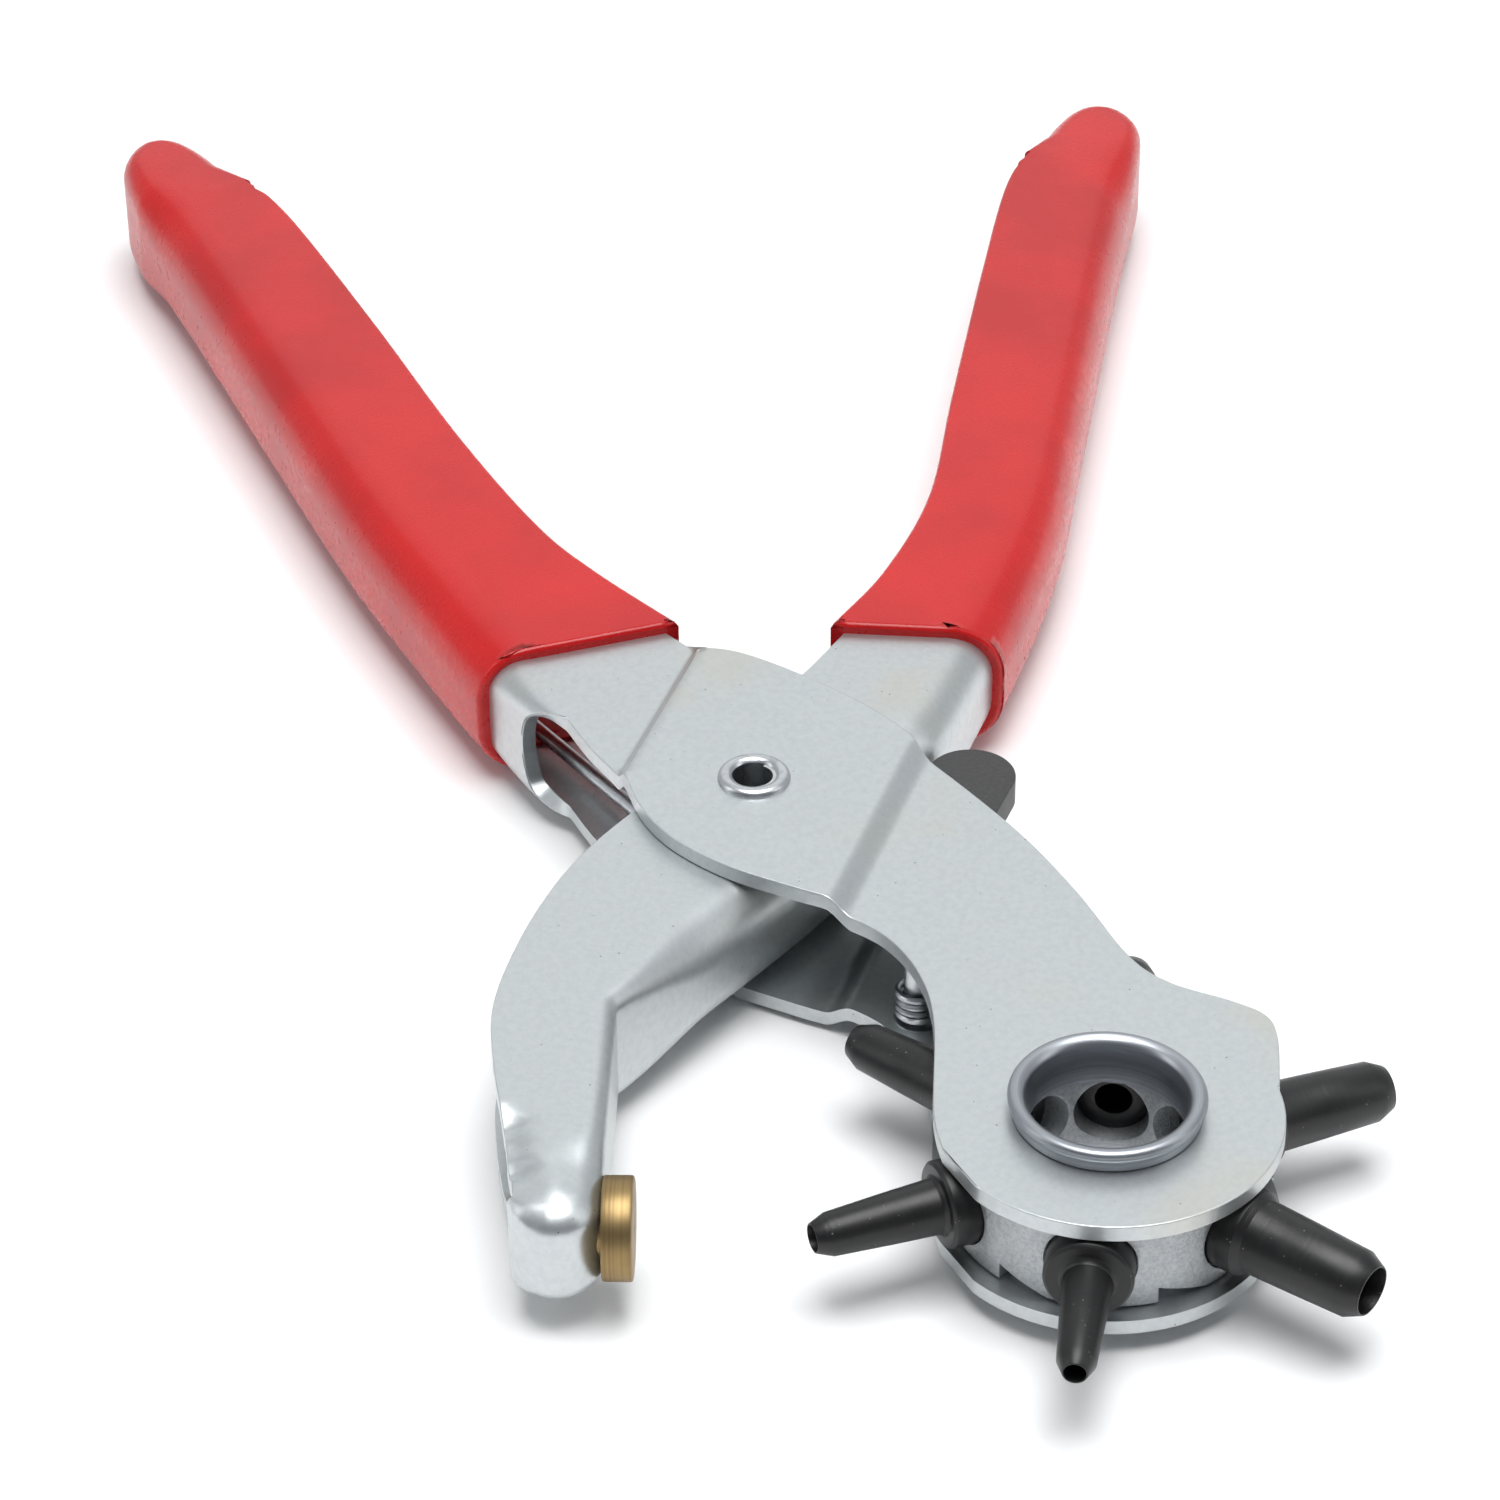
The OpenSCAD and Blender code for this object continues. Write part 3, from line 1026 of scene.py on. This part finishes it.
# Turret arm, in its own frame with the turret on -Y
TURRET_WEB = [(-11.4, 21.3), (-11.2, 36), (-9.8, 52), (-7.6, 71), (-2.7, 100), (2.6, 131), (4.8, 146)]
TURRET_END = [(4.8, 146), (7.2, 154.4), (11, 157.6), (14.4, 154.4), (15.5, 141)]
TURRET_EDGE = [(15.5, 141), (15.1, 129), (11.4, 102), (7.2, 75), (5.1, 54), (5.6, 42), (8.1, 26)]
TURRET_FRONT = [
    (8.4, 22.6), (10.9, 19.8), (13.7, 13.7), (16.6, 4), (17.7, -7), (18.1, -20), (17.2, -31),
    (15.4, -42), (16.2, -47.5), (19.4, -53), (20.7, -56.5), (19.5, -59.8), (15.4, -65.4),
]
TURRET_BACK = [
    (-15.6, -56.2), (-13.2, -51.2), (-5.8, -40.3), (-2.9, -33.5), (-2.3, -27), (-4, -21.8),
    (-6.6, -17.4), (-10.2, -10.8), (-12.1, -4), (-12, 2), (-10.2, 9),
]
# Anvil arm, in its own frame with the handle on +Y
ANVIL_LEAN = 16.5
ANVIL_CORNER = Vector((-1.9, -36))
JAW_WAY = Vector((math.sin(math.radians(ANVIL_LEAN)), -math.cos(math.radians(ANVIL_LEAN))))
JAW_END = ANVIL_CORNER + 25 * JAW_WAY
ANVIL_WEB = [
    (-1.9, -36), (2.6, -25), (8, -10.3), (11, 0), (12, 9), (12.6, 13), (14.6, 18), (15.2, 28),
    (15.1, 46), (14.1, 62), (11.2, 81), (5.9, 115), (3, 135), (1.8, 143),
]
ANVIL_END = [(1.8, 143), (0.2, 150.6), (-3.6, 153.4), (-7.2, 150.4), (-8.8, 138)]
ANVIL_EDGE = [
    (-8.8, 138), (-8.6, 128), (-5.9, 109), (-1.1, 79), (2.4, 58), (2.2, 42), (0, 30), (-2.4, 19),
    (-8.2, 0), (-12.6, -14), (-13.9, -26), (-12.9, -39), (-9.7, -48), (-4.9, -57.6), (-2.9, -62.6),
]
JAW_NOSE = [(-2.3, -64.4), (-0.5, -66.1), (2.2, -66.8), (4.7, -65.5), (5.8, -62.8)]


def dipped_grip(
    skin: Curve, edge: Curve, side: float, height: float, bend: float, cut: tuple[Vector, Vector]
) -> bmesh.types.BMesh:
    """Models a dipped grip.

    Args:
        skin: The curve of the handle's web and rounded end.
        edge: The curve of the handle's open side.
        side: 1 or -1 for the side of the web.
        height: Half height of the handle.
        bend: Bend radius of the handle.
        cut: Two points of the line where the grip starts.

    Returns:
        The mesh, in the arm's own frame.
    """
    outer = shifted([*skin, *edge[1:]], side * GRIP)
    n = len(skin)
    tip = max(p.y for p in outer)
    tip_bend = 3.3

    def rounding(p: Vector) -> float:
        """Bend radius of the grip, tighter round its end.

        Args:
            p: A point of the skin.

        Returns:
            The radius, in millimetres.
        """
        return tip_bend + (bend + GRIP - tip_bend) * (1 - ease(p.y, tip - 22, tip - 8))

    along = (cut[1] - cut[0]).normalized()
    way = Vector((-along.y, along.x))
    start = cut[0].dot(way)
    rows = [start + k for k in (-1.2, 0, 1.2, 2.4, 4, 7)]
    channel = Channel(
        outer[:n], outer[n:], side, height + GRIP, rounding,
        grid=spread(rows, 1.2, 40, way), tight=0.8, thickness=GRIP + SHEET + LINING,
    )
    return channel.solid(cut)


@dataclass
class TurretArm:
    """The arm that carries the turret, with its grip."""

    bend: float = 4.4
    arch_y: float = 21.3
    arch_r: float = 6.35
    arch_fade: float = 16.0
    nose_r: float = 16.2
    crease: float = 90 + ANVIL_TILT - TURRET_TILT
    axes: Matrix = field(default_factory=lambda: turn(TURRET_TILT))

    def across(self, p: Vector) -> float:
        """How far a point lies from the pivot, across the creases.

        Args:
            p: The point, in the arm's frame.

        Returns:
            The distance, positive towards the handle.
        """
        a = math.radians(self.crease)
        return -p.x * math.sin(a) + p.y * math.cos(a)

    def rise(self, p: Vector) -> float:
        """How far the plate is pressed outwards at a point.

        Args:
            p: The point, in the arm's frame.

        Returns:
            The rise, in millimetres.
        """
        d = self.across(p)
        width = 1.5 if d > 0 else 3.2
        return CHEEK_RISE * (1 - ease(abs(d), CHEEK_HALF_WIDTH, CHEEK_HALF_WIDTH + width))

    def bend_at(self, p: Vector) -> float:
        """Bend radius, which tightens towards the arch.

        Args:
            p: A point of the web's curve.

        Returns:
            The radius, in millimetres.
        """
        return 2.2 + (self.bend - 2.2) * (ease(p.y, 22, 40) - ease(p.y, 132, 150))

    def behind_arch(self, p: Vector) -> Vector:
        """Moves a point of the web out of the arch.

        Args:
            p: The point.

        Returns:
            The point on or behind the arch.
        """
        depth = self.arch_r * math.sqrt(max(1 - (p.z / HEAD_Z) ** 2, 0))
        share = max(1 - (p.y - self.arch_y) / self.arch_fade, 0)
        return p + Vector((0.07, 1, 0)) * depth * share

    def rows(self) -> list[float]:
        """How far the rows of the plate's points lie from the pivot, closer at the creases.

        Returns:
            The distances.
        """
        rows = [-78.0]
        while rows[-1] < 40:
            near_crease = abs(abs(rows[-1]) - CHEEK_HALF_WIDTH - 2) < 2.8
            rows.append(rows[-1] + (0.35 if near_crease else 1.2))
        return rows

    def build(self) -> None:
        """Models and dresses the arm and its grip."""
        nose = [
            Vector((0, -HEAD_REACH)) + self.nose_r * Vector((math.cos(a), math.sin(a)))
            for a in (math.radians(-20 - 152 * i / 60) for i in range(61))
        ]
        skin = smooth_curve(TURRET_WEB, 16, 32) + smooth_curve(TURRET_END, 12)[1:]
        edge = smooth_curve(TURRET_EDGE, 20)
        free = edge[1:] + smooth_curve(TURRET_FRONT, 14) + nose
        free += smooth_curve([*TURRET_BACK, (-9.9, 15.5), (-9.25, 20.8)], 14)
        a = math.radians(self.crease)
        grid = spread(self.rows(), 1.2, 66, Vector((-math.sin(a), math.cos(a))))
        holes = [((0, 0), 3.0), ((0, -HEAD_REACH), 8.1)]
        arm = Channel(
            skin, free, 1, HEAD_Z, self.bend_at, self.rise, self.behind_arch, holes, grid, 8, 12
        )
        bm = arm.solid()
        bm.transform(self.axes)
        obj = piece(bm, "arm_with_turret", ZincPlate(), self.axes, Body.TURRET_SIDE, ("turret_arm",), 50)
        soften(obj, SHEET_ROUNDING)
        cut = (Vector((-20, 35.8)), Vector((20, 26)))
        skin = smooth_curve(TURRET_WEB, 12, 12) + smooth_curve(TURRET_END, 12)[1:]
        bm = dipped_grip(skin, edge, 1, HEAD_Z, self.bend, cut)
        bm.transform(self.axes)
        grip = piece(
            bm, "grip_of_turret_arm", DippedPvc(), self.axes, Body.TURRET_SIDE, ("turret_arm_grip",), 50
        )
        soften(grip, GRIP_ROUNDING, 4)


@dataclass
class AnvilArm:
    """The arm that carries the brass anvil, with its grip."""

    bend: float = 4.6
    nose: Curve = field(default_factory=lambda: smooth_curve([*JAW_NOSE, JAW_END]))
    axes: Matrix = field(default_factory=lambda: turn(ANVIL_TILT))

    def bend_at(self, p: Vector) -> float:
        """Bend radius: tight at the corner, wide towards the pivot and at the tip.

        Args:
            p: A point of the web's curve.

        Returns:
            The radius, in millimetres.
        """
        if p.y < ANVIL_CORNER.y:
            return 1.75 + 0.5 * ease(p.y, -44, -60)
        return 1.75 + (self.bend - 1.75) * (ease(p.y, -36, -22) - ease(p.y, 128, 146))

    def dents(self, p: Vector) -> float:
        """How far the plate is crimped inwards at the tip.

        Args:
            p: The point, in the arm's frame.

        Returns:
            The rise, negative inwards.
        """
        start, way = Vector((-7.4, -52.6)), Vector((6.0, -13.0)).normalized()
        d = Vector((p.x, p.y)) - start
        along, inward = d.dot(way), way.x * d.y - way.y * d.x
        if along < -2 or p.y > -40:
            return 0.0
        length = ease(along, 0.5, 4.0) * (1 - ease(along, 9.5, 12.5))
        crimp = length * math.exp(-((max(inward, 0) / 2.1) ** 2))
        ripple = length * math.sin(along * 2.1) * math.exp(-(((inward - 1.5) / 1.6) ** 2))
        rim = min((Vector((p.x, p.y)) - q).length for q in self.nose)
        return -(1.1 * crimp + 0.2 * ripple + 1.9 * (1 - ease(rim, -3.0, 6.5)))

    def build(self) -> None:
        """Models and dresses the arm, its grip and the anvil."""
        jaw = [ANVIL_CORNER + JAW_WAY * (25 - 0.7 * k) for k in range(1, 35)]
        web = smooth_curve(ANVIL_WEB, 14)
        skin = self.nose + jaw + web + smooth_curve(ANVIL_END, 12)[1:]
        edge = smooth_curve(ANVIL_EDGE, 16)
        rows = [-69 + 0.7 * k for k in range(36)] + [-43 + 1.2 * k for k in range(60)]
        grid = spread(rows, 0.8, 20, Vector((0, 1)))
        arm = Channel(
            skin, edge[1:], -1, ANVIL_ARM_Z, self.bend_at, self.dents,
            holes=[((0, 0), 3.1)], grid=grid, both_ends=True,
        )
        bm = arm.solid()
        bm.transform(self.axes)
        obj = piece(bm, "arm_with_anvil", ZincPlate(), self.axes, Body.ANVIL_SIDE, ("anvil_arm",), 32)
        soften(obj, SHEET_ROUNDING)
        handle = [p for p in web if p.y > 12] + smooth_curve(ANVIL_END, 12)[1:]
        open_side = [p for p in edge if p.y > 12]
        cut = (Vector((-20, 25.5)), Vector((20, 34.5)))
        bm = dipped_grip(handle, open_side, -1, ANVIL_ARM_Z, self.bend, cut)
        bm.transform(self.axes)
        grip = piece(
            bm, "grip_of_anvil_arm", DippedPvc(), self.axes, Body.ANVIL_SIDE, ("anvil_arm_grip",), 50
        )
        soften(grip, GRIP_ROUNDING, 4)
        self.build_anvil()

    def build_anvil(self) -> None:
        """Models and dresses the brass anvil."""
        normal = Vector((math.cos(math.radians(ANVIL_LEAN)), math.sin(math.radians(ANVIL_LEAN)), 0))
        face = (ANVIL_CORNER + 25.8 * JAW_WAY).to_3d() + 2.8 * normal + Vector((0, 0, TUBE_Z))
        axes = self.axes @ axis_matrix(face, normal)
        profile = [(0.001, 0), (4.8, 0), (4.8, -2.8), (2.5, -2.8), (2.5, -4.4), (3.1, -4.4), (2.5, -5.2)]
        bm = lathe([*profile, (0.001, -5.2)], axes, 80, 0.22)
        piece(bm, "brass_anvil", BRASS, axes, Body.ANVIL_SIDE, ("anvil",))


@dataclass
class Pivot:
    """The rolled hollow rivet and the opening spring that is coiled round it."""

    barrel: float = 3.0
    head: float = 3.65
    coil: float = 4.3
    spring_wire: float = 0.8

    def build(self) -> None:
        """Models and dresses the rivet and the spring."""
        cheek = HEAD_Z + CHEEK_RISE
        wall = 0.42
        crown = [(self.head - 0.75 + 0.75 * math.cos(a), FOOT_Z - 0.62 + 0.62 * math.sin(a))
                 for a in (math.radians(-60 + 22 * i) for i in range(11))]
        upper = [(self.barrel, cheek), (self.head - 0.45, cheek), *crown, (self.barrel - wall, cheek - 0.6)]
        lower = [(r, -z) for r, z in reversed(upper)]
        bm = lathe([*upper, *lower], Matrix.Identity(4), 72)
        self.roll(bm)
        piece(bm, "rolled_rivet", BrightSteel(), Matrix.Identity(4), Body.TURRET_SIDE, ("pivot_rivet",))
        self.build_spring()

    def roll(self, bm: bmesh.types.BMesh) -> None:
        """Adds the inner turn of the rolled strip.

        Args:
            bm: The rivet's mesh.
        """
        start, sweep, steps = math.radians(118), math.radians(300), 44
        deep = FOOT_Z - 0.35
        verts = []
        for i in range(steps + 1):
            a = start + sweep * i / steps
            r = 2.62 - 0.55 * (i / steps) ** 1.5
            verts.append(bm.verts.new((r * math.cos(a), r * math.sin(a), deep)))
        edges = [bm.edges.new(pair) for pair in zip(verts, verts[1:])]
        strip = bmesh.ops.extrude_edge_only(bm, edges=edges)["geom"]
        low = [g for g in strip if isinstance(g, bmesh.types.BMVert)]
        bmesh.ops.translate(bm, vec=(0, 0, -2 * deep), verts=low)
        faces = {f for v in low for f in v.link_faces}
        bmesh.ops.solidify(bm, geom=list(faces), thickness=0.34)
        bmesh.ops.recalc_face_normals(bm, faces=bm.faces)

    def build_spring(self) -> None:
        """Models and dresses the opening spring."""
        start, end = 183.5 + TURRET_TILT, 360 * 4 - 12 + ANVIL_TILT
        rise, turns = 2.75, 110

        def on_coil(degrees: float, z: float) -> Vector:
            """A point of the coil.

            Args:
                degrees: The direction from the pivot.
                z: The height.

            Returns:
                The point.
            """
            a = math.radians(degrees)
            return Vector((self.coil * math.cos(a), self.coil * math.sin(a), z))

        def leg(degrees: float, z: float, way: float, length: float) -> Curve:
            """A straight leg, from the coil outwards.

            Args:
                degrees: Where the leg leaves the coil.
                z: Its height.
                way: The leg's direction, from the one that points outwards.
                length: Its length.

            Returns:
                The leg's points.
            """
            a = math.radians(degrees + way)
            direction = Vector((math.cos(a), math.sin(a), 0))
            return [on_coil(degrees, z) + direction * length * k / 12 for k in range(1, 13)]

        coil = [
            on_coil(start + (end - start) * i / turns, rise * (2 * i / turns - 1))
            for i in range(turns + 1)
        ]
        path = leg(start, -rise, -90, 41)[::-1] + coil + leg(end, rise, 90, 35)
        finish = BrightSteel("spring wire", (0.5, 0.52, 0.54), (0.3, 0.32, 0.34), 0.22, Slot.SPRING)
        bm = wire(path, self.spring_wire)
        obj = piece(bm, "wire_of_opening_spring", finish, Matrix.Identity(4), None, ("opening_spring",))
        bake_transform(obj)


@dataclass
class Turret:
    """The revolving turret: body, hub rings and six punch tubes."""

    hub_bore: float = 7.4
    stem: float = 9.2
    seat: float = 13.4
    collar: float = 16.6
    reach: float = 28.8
    centre: Vector = field(default_factory=lambda: turn(TURRET_TILT) @ Vector((0, -HEAD_REACH, 0)))

    def build(self) -> None:
        """Models and dresses the turret's pieces."""
        axes = turn(0, self.centre)
        bm = cad_copy("turret", 0.22)
        piece(bm, "turret_casting", DieCastZinc(), axes, Body.WHEEL, ("turret",))
        for name, side in (("hub_ring_top", 1), ("hub_ring_bottom", -1)):
            self.build_ring(name, axes @ Matrix.Diagonal((1, 1, side, 1)))
        sizes = [(2.5, 2.6, 2.05), (2.0, 2.3, 1.8), (4.5, 3.5, 3.2), (4.0, 3.3, 2.9),
                 (3.5, 3.1, 2.6), (3.0, 2.8, 2.35)]
        for i, (hole, root, tip) in enumerate(sizes):
            self.build_tube(hole, root, tip, INDEX_ANGLE + 60 * i)

    def build_ring(self, node: str, axes: Matrix) -> None:
        """Models and dresses one rolled hub ring.

        Args:
            node: The CAD node.
            axes: Its axes, with Z outwards.
        """
        neck, lip, low = self.hub_bore + 0.6, self.hub_bore + 1.7, HEAD_Z + 0.12
        top = FOOT_Z
        rolled = [(lip - 0.62 + 0.62 * math.cos(a), top - 0.62 + 0.62 * math.sin(a))
                  for a in (math.radians(-70 + 16 * i) for i in range(11))]
        profile = [(self.hub_bore, 3.65), (neck, 3.65), (neck, low), (lip - 0.42, low), *rolled,
                   (self.hub_bore + 0.9, top), (self.hub_bore + 0.35, top - 0.25), (self.hub_bore, top - 0.8)]
        bm = lathe(profile, axes, 120)
        if axes.determinant() < 0:
            bmesh.ops.reverse_faces(bm, faces=bm.faces)
        piece(bm, "rolled_" + node, HUB, turn(0, self.centre), Body.WHEEL, (node,))

    def build_tube(self, hole: float, root: float, tip: float, direction: float) -> None:
        """Models and dresses one punch tube.

        Args:
            hole: Diameter of the holes that it cuts.
            root: Outside radius beside the flange.
            tip: Outside radius where the cutting bevel starts.
            direction: Its direction seen from the turret's middle.
        """
        a = math.radians(direction)
        axis = Vector((math.cos(a), math.sin(a), 0))
        axes = axis_matrix(self.centre + Vector((0, 0, TUBE_Z)), axis)
        node = "tube_" + f"{hole:.1f}".replace(".", "_")
        bore = hole / 2
        profile = [
            (bore, self.stem), (3.5, self.stem), (3.5, self.seat), (4.1, self.seat),
            (4.1, self.collar - 0.3), (3.8, self.collar),
            (root + 0.35, self.collar), (root, self.collar + 0.4),
            (root - (root - tip) * 0.4, self.collar + 5), (tip, self.reach - 1.6),
            (bore + 0.14, self.reach), (bore, self.reach),
        ]
        bm = lathe(profile, axes, 64, 0.06)
        piece(bm, "punch_" + node, OXIDE, axes, Body.WHEEL, (node,))


@dataclass
class Fittings:
    """The latch and the index spring, with the studs that carry them."""

    latch_at: tuple[float, float] = (12, -15)
    post_at: tuple[float, float] = (1.4, -27.5)
    stop_at: tuple[float, float] = (10, -29)
    stud: float = 1.5
    index_wire: float = 0.35
    inner: float = HEAD_Z - SHEET
    axes: Matrix = field(default_factory=lambda: turn(TURRET_TILT))

    def build(self) -> None:
        """Models and dresses every fitting."""
        latch = cad_copy("latch_lever", 0.55, 4)
        piece(latch, "latch_tab", LatchPaint(), self.axes, Body.LATCH, ("latch_lever",))
        self.build_stud("latch_rivet", self.latch_at, -0.08, 3.28)
        self.build_stud("index_post", self.post_at, 0.1 - self.inner, 3.4)
        self.build_stud("index_stop", self.stop_at, 0.1 - self.inner, 1.2)
        self.build_index_spring()

    def build_stud(self, node: str, at: tuple[float, float], collar: float, top: float) -> None:
        """Models and dresses one riveted stud.

        Args:
            node: The CAD node.
            at: Its place, in the turret arm's frame.
            collar: Height of its collar.
            top: Height of its shank.
        """
        r = self.stud
        head = [
            (r + 0.7, top), (r + 0.62, top + 0.25), (r + 0.2, top + 0.52),
            (r * 0.5, top + 0.6), (0.001, top + 0.6),
        ]
        foot = [
            (0.001, -HEAD_Z - 0.6), (r * 0.6, -HEAD_Z - 0.6),
            (r + 0.15, -HEAD_Z - 0.4), (r + 0.4, -HEAD_Z),
        ]
        shank = [
            (r, -HEAD_Z), (r, -self.inner), (r + 1, -self.inner),
            (r + 1, collar), (r, collar), (r, top),
        ]
        axes = self.axes @ Matrix.Translation((*at, 0))
        bm = lathe([*foot, *shank, *head], axes, 40)
        piece(bm, "riveted_" + node, BrightSteel(), axes, Body.TURRET_SIDE, (node,))

    def build_index_spring(self) -> None:
        """Models and dresses the index spring."""
        r = self.stud + 0.25 + self.index_wire
        low = 0.15 + self.index_wire - self.inner
        notch = math.radians(INDEX_ANGLE - TURRET_TILT - 120 + 25 + 4)
        post = Vector(self.post_at)
        nose = Vector((0, -HEAD_REACH)) + 13.4 * Vector((math.cos(notch), math.sin(notch))) - post
        stop = Vector(self.stop_at) - post + Vector((0, self.stud + self.index_wire + 0.05))
        start = math.atan2(nose.y, nose.x) + math.acos(r / nose.length)
        end = 4 * math.tau + math.atan2(stop.y, stop.x) - math.acos(r / stop.length)
        high = low + (end - start) / math.tau * (2 * self.index_wire + 0.1)
        count = 90
        coil = []
        for i in range(count + 1):
            a = start + (end - start) * i / count
            coil.append(Vector((r * math.cos(a), r * math.sin(a), low + (high - low) * i / count)))
        first = [nose.to_3d() + Vector((0, 0, low))]
        last = [stop.to_3d() + Vector((0, 0, high))]
        path = [self.axes @ (p + post.to_3d()) for p in first + coil + last]
        finish = BrightSteel("index wire", (0.5, 0.52, 0.54), (0.3, 0.32, 0.34), 0.22, Slot.SPRING)
        bm = wire(path, self.index_wire, 10)
        piece(bm, "wire_of_index_spring", finish, self.axes, Body.TURRET_SIDE, ("index_spring",))


# ---- Studio -------------------------------------------------------------------------------


@dataclass
class Studio:
    """The floor, the lights and the camera."""

    eye: Vector = field(default_factory=lambda: Vector((-0.377, -381.8, 276.8)))
    target: Vector = field(default_factory=lambda: Vector((-0.377, 15.6, 0.4)))
    lens: float = 112.8
    roll: float = math.radians(0.55)

    def build(self) -> None:
        """Builds the studio."""
        self.build_floor()
        self.build_lights()
        self.build_camera()

    def build_floor(self) -> None:
        """Lays a plain white floor under the tool."""
        bm = bmesh.new()
        at = Matrix.Translation((0, 0.2, -FOOT_Z * MM))
        bmesh.ops.create_grid(bm, x_segments=1, y_segments=1, size=1.6, matrix=at)
        mesh = bpy.data.meshes.new("floor")
        bm.to_mesh(mesh)
        bm.free()
        floor = bpy.data.objects.new("floor", mesh)
        bpy.context.scene.collection.objects.link(floor)
        material = bpy.data.materials.new("white floor")
        material.use_nodes = True
        shader = material.node_tree.nodes["Principled BSDF"]
        shader.inputs["Base Color"].default_value = (0.93, 0.93, 0.93, 1)
        shader.inputs["Roughness"].default_value = 0.9
        shader.inputs["Specular IOR Level"].default_value = 0.0
        mesh.materials.append(material)

    def build_lights(self) -> None:
        """Hangs soft boxes over the floor, in a room that is darker on the near side."""
        lights = [
            ("overhead", (0.05, -0.1, 0.95), (0, 0, 0), 0.7, 0.6, 9.5),
            ("back", (0.0, 1.3, 0.85), (0, 0, 0), 1.8, 0.9, 2.4),
            ("left", (-1.1, -0.1, 0.55), (0, 0, 0), 0.4, 0.9, 2.0),
            ("right", (1.0, -0.2, 0.6), (0, 0, 0), 0.4, 0.9, 1.6),
        ]
        for name, at, toward, width, depth, power in lights:
            data = bpy.data.lights.new(name, "AREA")
            data.shape = "RECTANGLE"
            data.size, data.size_y = width, depth
            data.energy = power
            lamp = bpy.data.objects.new(name, data)
            bpy.context.scene.collection.objects.link(lamp)
            lamp.location = at
            lamp.rotation_mode = "QUATERNION"
            lamp.rotation_quaternion = (Vector(at) - Vector(toward)).to_track_quat("Z", "Y")
        world = bpy.data.worlds.new("studio")
        bpy.context.scene.world = world
        world.use_nodes = True
        tree = world.node_tree
        background = tree.nodes["Background"]
        coords = tree.nodes.new("ShaderNodeTexCoord")
        axes = tree.nodes.new("ShaderNodeSeparateXYZ")
        ramp = tree.nodes.new("ShaderNodeValToRGB")
        depth_range = tree.nodes.new("ShaderNodeMapRange")
        tree.links.new(coords.outputs["Generated"], axes.inputs[0])
        tree.links.new(axes.outputs[1], depth_range.inputs["Value"])
        depth_range.inputs["From Min"].default_value = -1.0
        tree.links.new(depth_range.outputs[0], ramp.inputs[0])
        ramp.color_ramp.elements[0].position = 0.25
        ramp.color_ramp.elements[0].color = (0.16, 0.17, 0.19, 1)
        ramp.color_ramp.elements[1].position = 0.8
        ramp.color_ramp.elements[1].color = (0.55, 0.57, 0.58, 1)
        tree.links.new(ramp.outputs[0], background.inputs[0])

    def build_camera(self) -> None:
        """Sets up the camera."""
        data = bpy.data.cameras.new("camera")
        data.lens, data.sensor_width = self.lens, 36.0
        data.clip_start, data.clip_end = 0.01, 20.0
        camera = bpy.data.objects.new("camera", data)
        bpy.context.scene.collection.objects.link(camera)
        ahead = (self.target - self.eye).normalized()
        right = ahead.cross(Vector((0, 0, 1))).normalized()
        up = right.cross(ahead)
        c, s = math.cos(self.roll), math.sin(self.roll)
        columns = (right * c - up * s, right * s + up * c, -ahead)
        rotation = Matrix(columns).transposed()
        camera.matrix_world = Matrix.Translation(self.eye * MM) @ rotation.to_4x4()
        bpy.context.scene.camera = camera
        bpy.context.scene.view_settings.view_transform = "Standard"


def main() -> None:
    """Builds the tool's looks and the studio."""
    logging.basicConfig(level=logging.INFO, format="%(message)s")
    for part in (Studio(), TurretArm(), AnvilArm(), Pivot(), Turret(), Fittings()):
        LOG.info("building %s", type(part).__name__)
        part.build()


if __name__ == "__main__":
    main()
